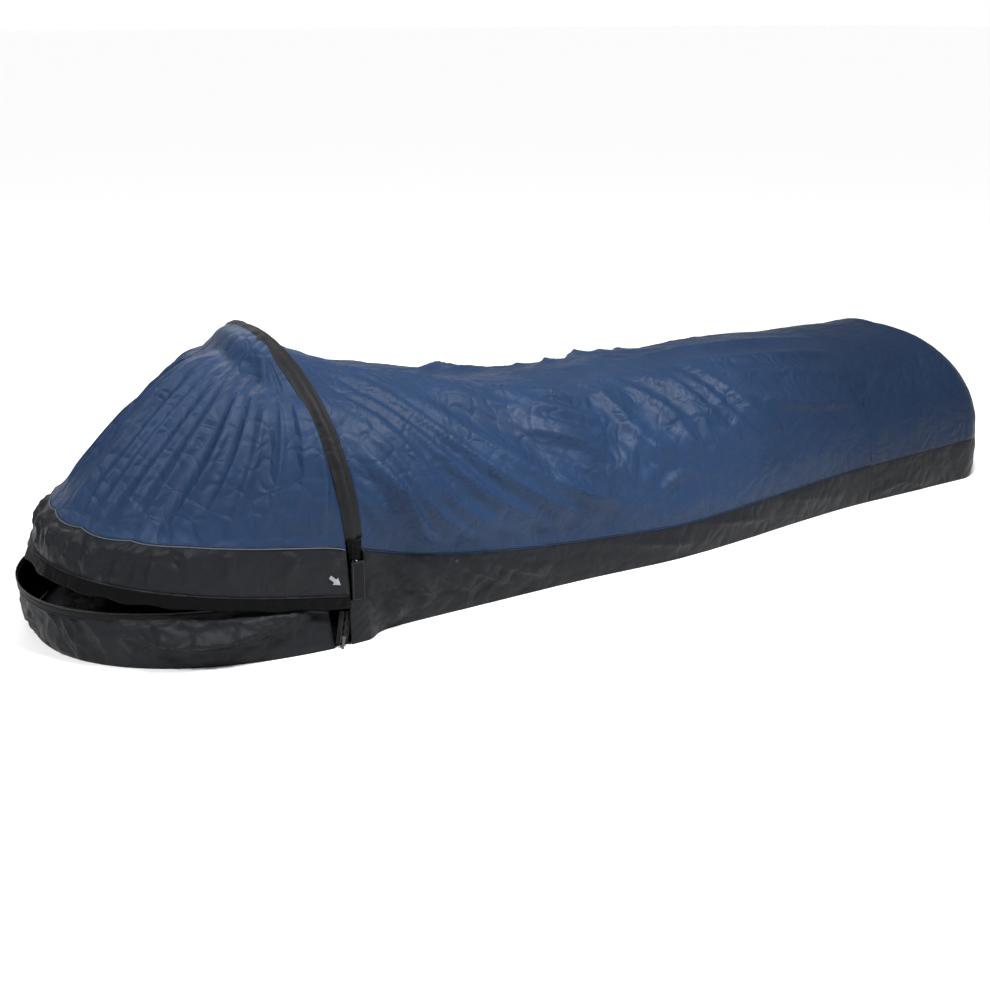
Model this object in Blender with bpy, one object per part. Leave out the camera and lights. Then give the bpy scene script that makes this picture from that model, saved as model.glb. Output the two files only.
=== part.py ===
"""Hooped bivy sack: a one-person weatherproof sleeping shell with a single bent-pole hood.

Metres, +Z up.  +X points from the head to the feet, and the origin is on the ground under the
middle of the sack.  The sack is the same on both sides of the XZ plane, except for the small
arrow patch.  "right" is the sleeper's right hand, the -Y side; "left" is +Y.

Stations are measured from the head end: place(0, ...) is the front of the lip, place(LENGTH, ...)
is the foot.  Every cloth panel is one smooth sheet, worked out by a surface function.
"""

import math

import bmesh
import bpy
from mathutils import Matrix, Vector

# ---------------------------------------------------------------- driving dimensions (metres)
LENGTH = 2.16              # lip to foot
POLE_STATION = 0.50        # where the two ends of the pole stand
SHOULDER_END = 0.82        # cloth ahead of this folds when the hood swings back
TOE_SEAM = 1.78            # seam between the long top panel and the toe box
SPINE_END = 1.99           # where the ridge line ends and the toe box starts to round down

HEAD_HALF_WIDTH = 0.329    # widest, beside the pole ends
SHOULDER_HALF_WIDTH = 0.301
FOOT_HALF_WIDTH = 0.269
FOOT_CORNER = 0.07         # plan radius of the two foot corners
HIP_STATION = 1.20
HIP_FULLNESS = 0.012       # the sleeper's hips push each side out this much
TAPER_START = 1.30         # the plan narrows from the shoulder width to the foot width
TAPER_RUN = 0.48
POCKET_RUN = 0.04          # the plan narrows from the pole's pocket to the shoulders
LIP_DEPTH = 0.483          # from the pole station forward to the lip, at the ground
LIP_FLARE = 0.015          # how far the slack front of the lip leans out
LIP_TUCK = 0.020           # how far its sides lean in
LIP_HEIGHT = 0.092

ARCH_HEIGHT = 0.499        # centre line of the pole at its top
ARCH_LEAN = 0.050          # how far the top of the pole leans forward of its ends
ARCH_BASE_HALF = 0.316
ARCH_SEAM_HALF = 0.3135    # half width of the pole at the height of the colour seam
SEAM_AT_POLE = 0.172       # height of the seam between dark wall and coloured top
SEAM_AT_BODY = 0.066
SEAM_AT_FOOT = 0.096
RIDGE_HEIGHT = 0.336       # ridge of the body, held up by the sleeper's loft
WAIST_STATION = 1.02
WAIST_SAG = 0.012
TOP_ROUNDNESS = 2.15       # exponent of the crown's cross-section: 2 is an ellipse
PLAN_ROUNDNESS = 2.14      # exponent of the head's plan shape
HOOD_TOP_ROUNDNESS = 1.45  # the hood's level slices turn pointed towards the top of the pole

ROUND_STEPS = 32            # facets of each panel that goes round the head
CLOTH = 0.002              # wall of each cloth solid
SEAM_GAP = 0.0015          # between one cloth panel and the next
SLEEVE_HALF_WIDTH = 0.016
SLEEVE_HALF_THICK = 0.0085
HEM_AT_POLE = 0.090        # lower edge of the hood band, beside the pole and at the front
HEM_AT_FRONT = 0.155
BAND_FRONT = 0.026         # station of the front of the band at BAND_LEVEL
BAND_LEVEL = 0.135
BAND_SLOPE = 0.41          # the front of the band leans back this much for each metre up
BAND_TOP = 0.20            # above this the front of the hood is a straight slope to the pole
FLAP_HEIGHT = 0.022        # storm flap over the zipper
TAB_WIDTH = 0.026
TAB_HEIGHT = 0.074
TAB_FOOT = 0.078
GUSSET_END = 0.529         # rear edge of the dark panel outside the foot of the pole
WALL_START = 0.531

POLE_RADIUS = 0.00425
POLE_WALL = 0.0007
POLE_SECTIONS = 4
PIVOT_HEIGHT = 0.008       # the pole's ends turn about this line when the hood swings
TIP_LENGTH = 0.024
FERRULE_LENGTH = 0.044

FLOOR_THICK = 0.003
FLOOR_GAP = 0.003          # between the edge of the floor sheet and the walls
STRAP_STATIONS = (0.76, 1.36)
STRAP_WIDTH = 0.025
STRAP_THICK = 0.0012
STRAP_HALF_LENGTH = 0.25

RISER_FOOT = (0.461, 0.3285, 0.006)   # zipper beside each pole end: station, half width, height
RISER_HEAD = (0.475, 0.3185, 0.062)
SLIDER_START = 0.009                  # centre of the slider above the riser's foot
COIL_RADIUS = 0.0012

FINISHES = {               # colour, roughness, metallic
    "shell_blue": ((0.060, 0.120, 0.260), 0.45, 0.0),
    "shell_charcoal": ((0.045, 0.046, 0.050), 0.45, 0.0),
    "trim_black": ((0.012, 0.012, 0.013), 0.60, 0.0),
    "sleeve_grey": ((0.060, 0.058, 0.058), 0.60, 0.0),
    "pole_alloy": ((0.420, 0.430, 0.450), 0.30, 1.0),
    "ferrule_alloy": ((0.650, 0.660, 0.680), 0.25, 1.0),
    "zip_coil": ((0.015, 0.015, 0.016), 0.40, 0.0),
    "slider_metal": ((0.050, 0.050, 0.055), 0.35, 1.0),
    "moulded_black": ((0.018, 0.018, 0.020), 0.50, 0.0),
    "net_black": ((0.020, 0.020, 0.022), 0.80, 0.0),
    "arrow_white": ((0.800, 0.800, 0.820), 0.40, 0.0),
    "cord_grey": ((0.200, 0.200, 0.210), 0.70, 0.0),
}


# ---------------------------------------------------------------- shape of the sack
def place(station, y, z):
    """A point given by its distance from the head end."""
    return Vector((station - LENGTH / 2, y, z))


def mix(a, b, t):
    return a + (b - a) * t


def smooth(t):
    t = min(max(t, 0.0), 1.0)
    return t * t * (3 - 2 * t)


def lobe(angle, exponent):
    """Cosine and sine of a superellipse; the sine stays positive from 0 to pi."""
    power = 2 / exponent
    c = math.cos(angle)
    return math.copysign(abs(c) ** power, c), max(math.sin(angle), 0.0) ** power


def ground_half_width(station):
    """Half width on the ground, behind the pole."""
    past_pole = station - POLE_STATION
    pole_pocket = (HEAD_HALF_WIDTH - SHOULDER_HALF_WIDTH) * math.exp(-(past_pole / POCKET_RUN) ** 2)
    hips = HIP_FULLNESS * math.exp(-((station - HIP_STATION) / 0.16) ** 2)
    taper = (SHOULDER_HALF_WIDTH - FOOT_HALF_WIDTH) * smooth((station - TAPER_START) / TAPER_RUN)
    return SHOULDER_HALF_WIDTH + pole_pocket + hips - taper


def top_half_width(station):
    """Half width at the seam, where the coloured top begins."""
    past_pole = station - POLE_STATION
    extra = ARCH_SEAM_HALF - SHOULDER_HALF_WIDTH
    pocket = (HEAD_HALF_WIDTH - SHOULDER_HALF_WIDTH) * math.exp(-(past_pole / POCKET_RUN) ** 2)
    return ground_half_width(station) - pocket + extra * math.exp(-past_pole / 0.06)


def seam_height(station):
    """Height of the seam between the dark wall and the coloured top."""
    falling = (SEAM_AT_POLE - SEAM_AT_BODY) * math.exp(-(station - POLE_STATION) / 0.26)
    rising = (SEAM_AT_FOOT - SEAM_AT_BODY) * min(max((station - 1.22) / 0.85, 0.0), 1.0)
    return SEAM_AT_BODY + falling + rising


def ridge_height(station):
    """The ridge drops from the top of the pole, with a slight sag at the sleeper's waist."""
    drop = math.exp(-(station - POLE_STATION) / 0.165)
    sag = WAIST_SAG * math.exp(-((station - WAIST_STATION) / 0.16) ** 2)
    return RIDGE_HEIGHT + (ARCH_HEIGHT - RIDGE_HEIGHT) * drop - sag


def lean(z):
    """How far the pole is forward of its ends at a height."""
    return ARCH_LEAN * (max(z, 0.0) / ARCH_HEIGHT) ** 3


def arch_half_width(z):
    """Half width of the pole's arch at a height."""
    if z <= SEAM_AT_POLE:
        return mix(ARCH_BASE_HALF, ARCH_SEAM_HALF, z / SEAM_AT_POLE)
    rise = min((z - SEAM_AT_POLE) / (ARCH_HEIGHT - SEAM_AT_POLE), 1.0)
    return ARCH_SEAM_HALF * (1 - rise ** TOP_ROUNDNESS) ** (1 / TOP_ROUNDNESS)


def top_rib(outer, angle):
    """One rib of the coloured top, from the right seam (0) over the ridge to the left (pi)."""
    station, half = outer
    centre = min(station, SPINE_END)
    across, up = lobe(angle, TOP_ROUNDNESS)
    seam = seam_height(station)
    z = mix(seam, ridge_height(centre), up)
    fade = max(0.0, 1 - (station - POLE_STATION) / 0.45) ** 2
    x = centre + (station - centre) * abs(across) - lean(z) * fade
    return place(x, -half * across, z)


def toe_outline(t, half, inset=0.0):
    """Plan of the toe box: t from 0 at the toe seam, round the corner, to 1 at the centre."""
    side = LENGTH - FOOT_CORNER - TOE_SEAM
    arc = FOOT_CORNER * math.pi / 2
    end = half - FOOT_CORNER
    radius = FOOT_CORNER - inset
    run = t * (side + arc + end)
    if run <= side:
        return TOE_SEAM + run, half - inset
    if run <= side + arc:
        turn = (run - side) / FOOT_CORNER
        return LENGTH - FOOT_CORNER + radius * math.sin(turn), end + radius * math.cos(turn)
    return LENGTH - inset, end - (run - side - arc)


# ---------------------------------------------------------------- surfaces: (u, v) from 0 to 1
def side_wall_surface(first, last):
    """Dark wall of the right side: u towards the foot, v from the ground to the seam."""
    def surface(u, v):
        station = mix(first, last, u)
        top = seam_height(station) - SEAM_GAP
        half = mix(ground_half_width(station), top_half_width(station), v)
        return place(station, -half - 0.004 * math.sin(math.pi * v), top * v)
    return surface


def gusset_surface(u, v):
    """Dark panel outside the foot of the pole, below the tab."""
    station = mix(RISER_HEAD[0] + 0.0115, GUSSET_END, u)
    half = mix(ground_half_width(station), HEAD_HALF_WIDTH - 0.003, v)
    return place(station, -half, 0.001 + (TAB_FOOT - 0.003) * v)


def foot_wall_surface(u, v):
    """Dark wall round the foot: u from the right toe seam to the left one."""
    side = -1 if u < 0.5 else 1
    station, y = toe_outline(1 - abs(1 - 2 * u), top_half_width(TOE_SEAM))
    return place(station + SEAM_GAP * abs(1 - 2 * u), side * y, (seam_height(station) - SEAM_GAP) * v)


def body_top_surface(first, last):
    """Coloured top: u towards the foot, v from the right seam over the ridge to the left."""
    def surface(u, v):
        station = mix(first, last, u)
        return top_rib((station, top_half_width(station)), math.pi * v)
    return surface


def toe_top_surface(u, v):
    """Toe box: the ribs fan round the end of the ridge."""
    station, half = toe_outline(u, top_half_width(TOE_SEAM))
    return top_rib((station + SEAM_GAP * (1 - u), half), math.pi * v)


def lip_surface(v_low, v_high, proud=0.0):
    """Tub wall round the head: u up, v round from the right zipper to the left one."""
    start = lip_start_angle()

    def surface(u, v):
        height = mix(v_low, v_high, u)
        angle = mix(start, math.pi - start, v)
        across, forward = lobe(angle, PLAN_ROUNDNESS)
        depth = LIP_DEPTH + LIP_FLARE * height + proud
        half = HEAD_HALF_WIDTH - LIP_TUCK * height + proud
        dip = 0.030 * math.exp(-(forward / 0.16) ** 2)
        return place(POLE_STATION - depth * forward, -half * across, (LIP_HEIGHT - dip) * height)
    return surface


def lip_start_angle():
    """Angle at which the lip meets the zipper beside the pole."""
    reach = (POLE_STATION - RISER_FOOT[0] + 0.012) / LIP_DEPTH
    return math.asin(reach ** (PLAN_ROUNDNESS / 2))


def hem_height(angle):
    return mix(HEM_AT_POLE, HEM_AT_FRONT, max(math.sin(angle), 0.0) ** 0.8)


def hood_seam_height(angle):
    return SEAM_AT_POLE + 0.048 * max(math.sin(angle), 0.0) ** 0.5


def hood_point(angle, z, inset=0.0):
    """Front of the hood: a level slice at height z, angle 0 at the right end of the pole."""
    top = ARCH_HEIGHT - 0.006
    rear = POLE_STATION - lean(z) - SLEEVE_HALF_WIDTH - SEAM_GAP
    if z < BAND_TOP:
        front = BAND_FRONT + BAND_SLOPE * (z - BAND_LEVEL)
    else:
        foot = BAND_FRONT + BAND_SLOPE * (BAND_TOP - BAND_LEVEL)
        peak = POLE_STATION - lean(top) - SLEEVE_HALF_WIDTH - SEAM_GAP
        front = mix(foot, peak, (z - BAND_TOP) / (top - BAND_TOP))
    rise = min(max((z - 0.15) / (ARCH_HEIGHT - 0.15), 0.0), 1.0)
    across, forward = lobe(angle, mix(PLAN_ROUNDNESS, HOOD_TOP_ROUNDNESS, rise))
    loose = 0.010 * (1 - smooth((z - 0.09) / 0.2))
    half = arch_half_width(z) + loose - inset
    return place(rear - (rear - front - inset) * forward, -half * across, z)


def band_surface(u, v):
    angle = math.pi * v
    return hood_point(angle, mix(hem_height(angle), hood_seam_height(angle) - SEAM_GAP, u))


def canopy_surface(u, v):
    angle = math.pi * v
    return hood_point(angle, mix(hood_seam_height(angle) + SEAM_GAP, ARCH_HEIGHT - 0.006, u))


def hem_strip_surface(low, high, inset):
    """A strip along the hem of the hood; low and high are heights from the hem."""
    def surface(u, v):
        angle = math.pi * v
        return hood_point(angle, hem_height(angle) + mix(low, high, u), inset)
    return surface


# ---------------------------------------------------------------- line of the pole
def arch_line(count=240):
    """Centre line of the pole from its right end to its left, with the length so far."""
    leg = [(ARCH_BASE_HALF, PIVOT_HEIGHT), (ARCH_SEAM_HALF, SEAM_AT_POLE)]
    points = []
    for i in range(25):
        t = i / 25
        points.append((mix(leg[0][0], leg[1][0], t), mix(leg[0][1], leg[1][1], t)))
    for i in range(count + 1):
        across, up = lobe(math.pi * i / count, TOP_ROUNDNESS)
        points.append((ARCH_SEAM_HALF * across, mix(SEAM_AT_POLE, ARCH_HEIGHT, up)))
    for y, z in reversed(points[:25]):
        points.append((-y, z))
    line = [place(POLE_STATION - lean(z) + lean(PIVOT_HEIGHT), -y, z) for y, z in points]
    lengths = [0.0]
    for a, b in zip(line, line[1:]):
        lengths.append(lengths[-1] + (b - a).length)
    return line, lengths


ARCH_POINTS, ARCH_RUN = arch_line()
ARCH_LENGTH = ARCH_RUN[-1]


def arch_at(run):
    """The point at a length along the pole."""
    run = min(max(run, 0.0), ARCH_LENGTH)
    for i, reach in enumerate(ARCH_RUN[1:]):
        if run <= reach:
            t = (run - ARCH_RUN[i]) / (reach - ARCH_RUN[i])
            return ARCH_POINTS[i].lerp(ARCH_POINTS[i + 1], t)
    return ARCH_POINTS[-1].copy()


def arch_frame(run):
    """Point on the pole, the direction across the sleeve, and the direction outwards."""
    step = 0.004
    along = (arch_at(run + step) - arch_at(run - step)).normalized()
    across = (Vector((1, 0, 0)) - along * along.x).normalized()
    return arch_at(run), across, across.cross(along).normalized()


def run_at_height(z):
    """Length along the pole at which its right leg reaches a height."""
    for point, run in zip(ARCH_POINTS, ARCH_RUN):
        if point.z >= z:
            return run
    return ARCH_LENGTH / 2


def arch_tube_surface(first, last, half_wide, half_thick, drop=0.0, ahead=0.0):
    """A tube along the pole: u along it, v round its section."""
    def surface(u, v):
        point, across, out = arch_frame(mix(first, last, u))
        turn = 2 * math.pi * v
        centre = point - out * drop - Vector((ahead, 0, 0))
        return centre + across * half_wide * math.cos(turn) + out * half_thick * math.sin(turn)
    return surface


# ---------------------------------------------------------------- making objects
def clear_scene():
    for old in list(bpy.data.objects):
        bpy.data.objects.remove(old, do_unlink=True)


def finish(name):
    material = bpy.data.materials.get(name)
    if material is None:
        colour, roughness, metallic = FINISHES[name]
        material = bpy.data.materials.new(name)
        material.use_nodes = True
        shader = material.node_tree.nodes["Principled BSDF"]
        shader.inputs["Base Color"].default_value = (*colour, 1)
        shader.inputs["Roughness"].default_value = roughness
        shader.inputs["Metallic"].default_value = metallic
        material.diffuse_color = (*colour, 1)
    return material


def add_object(name, data, material, parent=None):
    """Link an object under a parent without moving it."""
    obj = bpy.data.objects.new(name, data)
    bpy.context.scene.collection.objects.link(obj)
    if material:
        data.materials.append(finish(material))
    if parent:
        obj.parent = parent
        obj.matrix_parent_inverse = parent.matrix_basis.inverted()
    return obj


def add_pivot(name, point, parent=None):
    """An empty on a joint's axis."""
    pivot = bpy.data.objects.new(name, None)
    bpy.context.scene.collection.objects.link(pivot)
    pivot.location = point
    if parent:
        pivot.parent = parent
        pivot.matrix_parent_inverse = parent.matrix_basis.inverted()
    return pivot


def cloth(name, surface, steps, thickness, material, parent=None, left=False, inward=True):
    """A sheet laid on a surface function and thickened; left mirrors it to the +Y side."""
    mesh = bpy.data.meshes.new(name)
    bm = bmesh.new()
    bmesh.ops.create_grid(bm, x_segments=steps[0], y_segments=steps[1], size=1)
    for vert in bm.verts:
        point = surface((vert.co.x + 1) / 2, (vert.co.y + 1) / 2)
        if left:
            point.y = -point.y
        vert.co = point
    bmesh.ops.remove_doubles(bm, verts=bm.verts, dist=0.00002)
    bmesh.ops.dissolve_degenerate(bm, dist=0.00002, edges=bm.edges)
    if left:
        bmesh.ops.reverse_faces(bm, faces=bm.faces)
    bm.to_mesh(mesh)
    bm.free()
    mesh.shade_smooth()
    obj = add_object(name, mesh, material, parent)
    thicken = obj.modifiers.new("thickness", "SOLIDIFY")
    thicken.thickness = thickness
    thicken.offset = -1 if inward else 1
    thicken.use_even_offset = True
    return obj


def rod(name, points, radius, material, parent=None):
    """A solid round cord or wire along points."""
    curve = bpy.data.curves.new(name, "CURVE")
    curve.dimensions = "3D"
    curve.bevel_depth = radius
    curve.bevel_resolution = 1
    curve.use_fill_caps = True
    spline = curve.splines.new("POLY")
    spline.points.add(len(points) - 1)
    for slot, point in zip(spline.points, points):
        slot.co = (*point, 1)
    return add_object(name, curve, material, parent)


def block_mesh(name, size, centre=(0, 0, 0), bevel=0.0):
    """A box by its size and centre, with small bevels."""
    mesh = bpy.data.meshes.new(name)
    bm = bmesh.new()
    bmesh.ops.create_cube(bm, size=1)
    for vert in bm.verts:
        vert.co = Vector(centre) + Vector(a * b for a, b in zip(vert.co, size))
    if bevel:
        bmesh.ops.bevel(bm, geom=bm.edges, offset=bevel, segments=1, affect="EDGES")
    bm.to_mesh(mesh)
    bm.free()
    return mesh


def round_bar_mesh(name, radius, length, axis="Y", sides=12):
    """A bar about the origin, lying along an axis."""
    mesh = bpy.data.meshes.new(name)
    bm = bmesh.new()
    turn = Matrix.Rotation(math.pi / 2, 4, "X" if axis == "Y" else "Y")
    bmesh.ops.create_cone(bm, cap_ends=True, segments=sides, radius1=radius, radius2=radius,
                          depth=length, matrix=turn)
    bm.to_mesh(mesh)
    bm.free()
    return mesh


def add_helper(name, mesh, frame):
    """A shape that is only joined to, or cut from, another."""
    helper = bpy.data.objects.new(name, mesh)
    bpy.context.scene.collection.objects.link(helper)
    helper.matrix_basis = frame
    helper.hide_render = True
    helper.display_type = "WIRE"
    return helper


def combine(obj, helper, operation):
    change = obj.modifiers.new(helper.name, "BOOLEAN")
    change.operation = operation
    change.object = helper
    change.solver = "EXACT"


# ---------------------------------------------------------------- the sack itself
def make_floor():
    """One flat sheet to the inside of the walls."""
    inset = CLOTH + FLOOR_GAP
    right = []
    for i in range(17):
        across, forward = lobe(math.pi / 2 * (1 - i / 16), PLAN_ROUNDNESS)
        station = POLE_STATION - (LIP_DEPTH - inset) * forward
        right.append((station, (HEAD_HALF_WIDTH - inset) * across))
    for i in range(1, 24):
        station = mix(POLE_STATION, TOE_SEAM, i / 24)
        right.append((station, ground_half_width(station) - inset))
    for i in range(17):
        right.append(toe_outline(i / 16, top_half_width(TOE_SEAM), inset))
    outline = [(s, -h) for s, h in right] + [(s, h) for s, h in reversed(right[1:-1])]
    mesh = bpy.data.meshes.new("floor_panel")
    bm = bmesh.new()
    ring = [bm.verts.new(place(s, y, 0)) for s, y in outline]
    base = bm.faces.new(ring)
    raised = bmesh.ops.extrude_face_region(bm, geom=[base])
    lifted = [part for part in raised["geom"] if isinstance(part, bmesh.types.BMVert)]
    bmesh.ops.translate(bm, verts=lifted, vec=(0, 0, FLOOR_THICK))
    bmesh.ops.recalc_face_normals(bm, faces=bm.faces)
    bm.to_mesh(mesh)
    bm.free()
    return add_object("floor_panel", mesh, "shell_charcoal")


def make_walls():
    cloth("head_lip", lip_surface(0.0, 1.0), (3, ROUND_STEPS), CLOTH, "shell_charcoal")
    cloth("foot_wall", foot_wall_surface, (32, 2), CLOTH, "shell_charcoal")
    for name, left in (("right", False), ("left", True)):
        cloth(f"shoulder_wall_{name}", side_wall_surface(WALL_START, SHOULDER_END), (8, 3), CLOTH,
              "shell_charcoal", left=left)
        cloth(f"side_wall_{name}", side_wall_surface(SHOULDER_END + SEAM_GAP, TOE_SEAM - SEAM_GAP),
              (12, 2), CLOTH, "shell_charcoal", left=left)
        cloth(f"pole_gusset_{name}", gusset_surface, (4, 3), CLOTH, "shell_charcoal", left=left)


def make_top():
    first = POLE_STATION + SLEEVE_HALF_WIDTH + SEAM_GAP
    cloth("shoulder_panel", body_top_surface(first, SHOULDER_END), (8, 20), CLOTH, "shell_blue")
    cloth("body_top_panel", body_top_surface(SHOULDER_END + SEAM_GAP, TOE_SEAM), (12, 18), CLOTH,
          "shell_blue")
    cloth("toe_top_panel", toe_top_surface, (16, 16), CLOTH, "shell_blue")


def make_pole_pockets():
    """A small moulded cup on each side that the pole's end stands and turns in."""
    for name, side in (("right", -1), ("left", 1)):
        mesh = bpy.data.meshes.new(f"pole_cup_{name}")
        bm = bmesh.new()
        bmesh.ops.create_cone(bm, cap_ends=True, segments=20, radius1=0.009, radius2=0.009,
                              depth=0.005)
        roof = [face for face in bm.faces if face.normal.z > 0.9]
        bmesh.ops.inset_region(bm, faces=roof, thickness=0.002)
        for face in roof:
            bmesh.ops.translate(bm, verts=face.verts, vec=(0, 0, -0.0035))
        bm.to_mesh(mesh)
        bm.free()
        cup = add_object(f"pole_cup_{name}", mesh, "moulded_black")
        cup.location = place(POLE_STATION, side * ARCH_BASE_HALF, FLOOR_THICK + 0.0003 + 0.0025)


def make_straps():
    """Two webbing straps across the floor hold the sleeping pad; each has a sliding keeper."""
    height = FLOOR_THICK + 0.0018
    for number, station in enumerate(STRAP_STATIONS, 1):
        strap = add_object(f"pad_strap_{number}",
                           block_mesh("strap", (STRAP_WIDTH, 2 * STRAP_HALF_LENGTH, STRAP_THICK)),
                           "trim_black")
        strap.location = place(station, 0, height + STRAP_THICK / 2)
        middle = place(station, 0.08, height + STRAP_THICK / 2)
        keeper = add_object(f"strap_keeper_{number}",
                            block_mesh("keeper", (STRAP_WIDTH + 0.007, 0.014, 0.0042), bevel=0.0006),
                            "moulded_black")
        keeper.location = middle
        slot = block_mesh("slot", (STRAP_WIDTH + 0.0016, 0.02, STRAP_THICK + 0.0008))
        combine(keeper, add_helper(f"keeper_slot_{number}", slot, Matrix.Translation(middle)),
                "DIFFERENCE")


# ---------------------------------------------------------------- the hood
def make_hood_cloth(hood):
    cloth("hood_canopy", canopy_surface, (9, ROUND_STEPS), CLOTH, "shell_blue", hood)
    cloth("hood_band", band_surface, (2, ROUND_STEPS), CLOTH, "shell_charcoal", hood)
    flap = hem_strip_surface(-FLAP_HEIGHT, -SEAM_GAP, 0.001)
    cloth("storm_flap", flap, (1, ROUND_STEPS), 0.0015, "trim_black", hood)
    tape = hem_strip_surface(-0.014, 0.004, 0.0045)
    cloth("upper_zip_tape", tape, (1, ROUND_STEPS), 0.0008, "trim_black", hood)
    coil = hem_strip_surface(-0.0158, -0.0158, 0.0055)
    points = [coil(0, i / ROUND_STEPS) for i in range(ROUND_STEPS + 1)]
    rod("upper_zip_coil", points, COIL_RADIUS, "zip_coil", hood)


def make_sleeve(hood):
    """The sleeve that the pole is threaded through, with a gathered cuff at each end."""
    first = run_at_height(0.192)
    tube = arch_tube_surface(first, ARCH_LENGTH - first, SLEEVE_HALF_WIDTH, SLEEVE_HALF_THICK)
    cloth("pole_sleeve", tube, (40, 10), 0.001, "sleeve_grey", hood)
    low, high = run_at_height(0.156), first - 0.001
    for name, left in (("right", False), ("left", True)):
        cuff = arch_tube_surface(low, high, 0.010, 0.0075)
        cloth(f"sleeve_cuff_{name}", cuff, (2, 10), 0.001, "trim_black", hood, left=left)


def make_pole(hood):
    """Four alloy sections with outside ferrules, a plug at each end and shock cord inside."""
    usable = ARCH_LENGTH - 2 * TIP_LENGTH
    part = usable / POLE_SECTIONS
    gap = 0.0005
    for i in range(POLE_SECTIONS):
        first = TIP_LENGTH + i * part + gap
        tube = arch_tube_surface(first, first + part - 2 * gap, POLE_RADIUS, POLE_RADIUS)
        cloth(f"pole_section_{i + 1}", tube, (9, 8), POLE_WALL, "pole_alloy", hood)
    for i in range(1, POLE_SECTIONS):
        middle = TIP_LENGTH + i * part
        ring = POLE_RADIUS + 0.0014
        tube = arch_tube_surface(middle - FERRULE_LENGTH / 2, middle + FERRULE_LENGTH / 2, ring, ring)
        cloth(f"pole_ferrule_{i}", tube, (4, 8), 0.0008, "ferrule_alloy", hood)
    cord = [arch_at(mix(TIP_LENGTH + 0.001, ARCH_LENGTH - TIP_LENGTH - 0.001, i / 40)) for i in range(41)]
    rod("shock_cord", cord, 0.0012, "cord_grey", hood)
    for name, side in (("right", -1), ("left", 1)):
        make_pole_tip(name, side, hood)


def make_pole_tip(name, side, hood):
    """A turned plug: a thin spigot with a round end, then a collar as wide as the pole."""
    mesh = bpy.data.meshes.new(f"pole_tip_{name}")
    profile = [(0.0, 0.0), (0.0016, 0.0004), (0.0024, 0.0020), (0.0024, 0.0140),
               (POLE_RADIUS, 0.0165), (POLE_RADIUS, TIP_LENGTH - 0.0003), (0.0, TIP_LENGTH - 0.0003)]
    bm = bmesh.new()
    verts = [bm.verts.new((r, 0, z)) for r, z in profile]
    edges = [bm.edges.new(pair) for pair in zip(verts, verts[1:])]
    bmesh.ops.spin(bm, geom=verts + edges, cent=(0, 0, 0), axis=(0, 0, 1), angle=2 * math.pi,
                   steps=12, use_merge=True)
    bmesh.ops.remove_doubles(bm, verts=bm.verts, dist=0.00001)
    bmesh.ops.recalc_face_normals(bm, faces=bm.faces)
    bm.to_mesh(mesh)
    bm.free()
    mesh.shade_smooth()
    mesh.set_sharp_from_angle(angle=math.radians(40))
    foot = arch_at(0) if side < 0 else arch_at(ARCH_LENGTH)
    above = arch_at(TIP_LENGTH) if side < 0 else arch_at(ARCH_LENGTH - TIP_LENGTH)
    turn = (above - foot).to_track_quat("Z", "X").to_matrix().to_4x4()
    tip = add_object(f"pole_tip_{name}", mesh, "moulded_black", hood)
    tip.matrix_basis = Matrix.Translation(foot) @ turn


def make_tabs(hood):
    """Hook-and-loop tab over each sleeve end; it peels open about its rear edge."""
    y = ARCH_BASE_HALF + 0.0085
    size = (TAB_WIDTH, 0.0018, TAB_HEIGHT)
    for name, side in (("right", -1), ("left", 1)):
        rear = place(POLE_STATION + TAB_WIDTH / 2, side * y, TAB_FOOT)
        mesh = block_mesh(f"pole_tab_{name}", size, (-TAB_WIDTH / 2, 0, TAB_HEIGHT / 2), 0.0005)
        tab = add_object(f"pole_tab_{name}", mesh, "trim_black", hood)
        tab.location = rear


def make_arrow(hood):
    """A small reflective arrow on the hood band, pointing at the right-hand zipper slider."""
    mesh = bpy.data.meshes.new("exit_arrow")
    shaft, head, reach = 0.0032, 0.0075, 0.013
    outline = [(-reach, -shaft), (0, -shaft), (0, -head), (reach, 0), (0, head), (0, shaft),
               (-reach, shaft)]
    bm = bmesh.new()
    ring = [bm.verts.new((x, 0, z)) for x, z in outline]
    face = bm.faces.new(ring)
    raised = bmesh.ops.extrude_face_region(bm, geom=[face])
    lifted = [part for part in raised["geom"] if isinstance(part, bmesh.types.BMVert)]
    bmesh.ops.translate(bm, verts=lifted, vec=(0, -0.0006, 0))
    bmesh.ops.recalc_face_normals(bm, faces=bm.faces)
    bm.to_mesh(mesh)
    bm.free()
    arrow = add_object("exit_arrow", mesh, "arrow_white", hood)
    height = 0.124
    point = hood_point(0.045, height)
    ahead, above = hood_point(0.015, height), hood_point(0.045, height + 0.01)
    along = (ahead - point).normalized()
    out = along.cross(above - point).normalized()
    up = out.cross(along)
    axes = Matrix((along, -out, up)).transposed().to_4x4()
    tilt = Matrix.Rotation(math.radians(45), 4, "Y")
    arrow.matrix_basis = Matrix.Translation(point + out * 0.0009) @ axes @ tilt


def make_net(hood):
    """The insect net, rolled up inside the hood and held by two ties."""
    middle = ARCH_LENGTH / 2
    roll = arch_tube_surface(middle - 0.30, middle + 0.30, 0.012, 0.010, 0.026, 0.016)
    points = [sum((roll(i / 20, v / 4) for v in range(4)), Vector()) / 4 for i in range(21)]
    net = rod("net_roll", points, 0.011, "net_black", hood)
    net.data.bevel_resolution = 2
    for number, shift in enumerate((-0.16, 0.16), 1):
        run = middle + shift
        tie = arch_tube_surface(run - 0.004, run + 0.004, 0.0135, 0.0135, 0.026, 0.016)
        cloth(f"net_tie_{number}", tie, (1, 14), 0.0012, "trim_black", hood)


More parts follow.
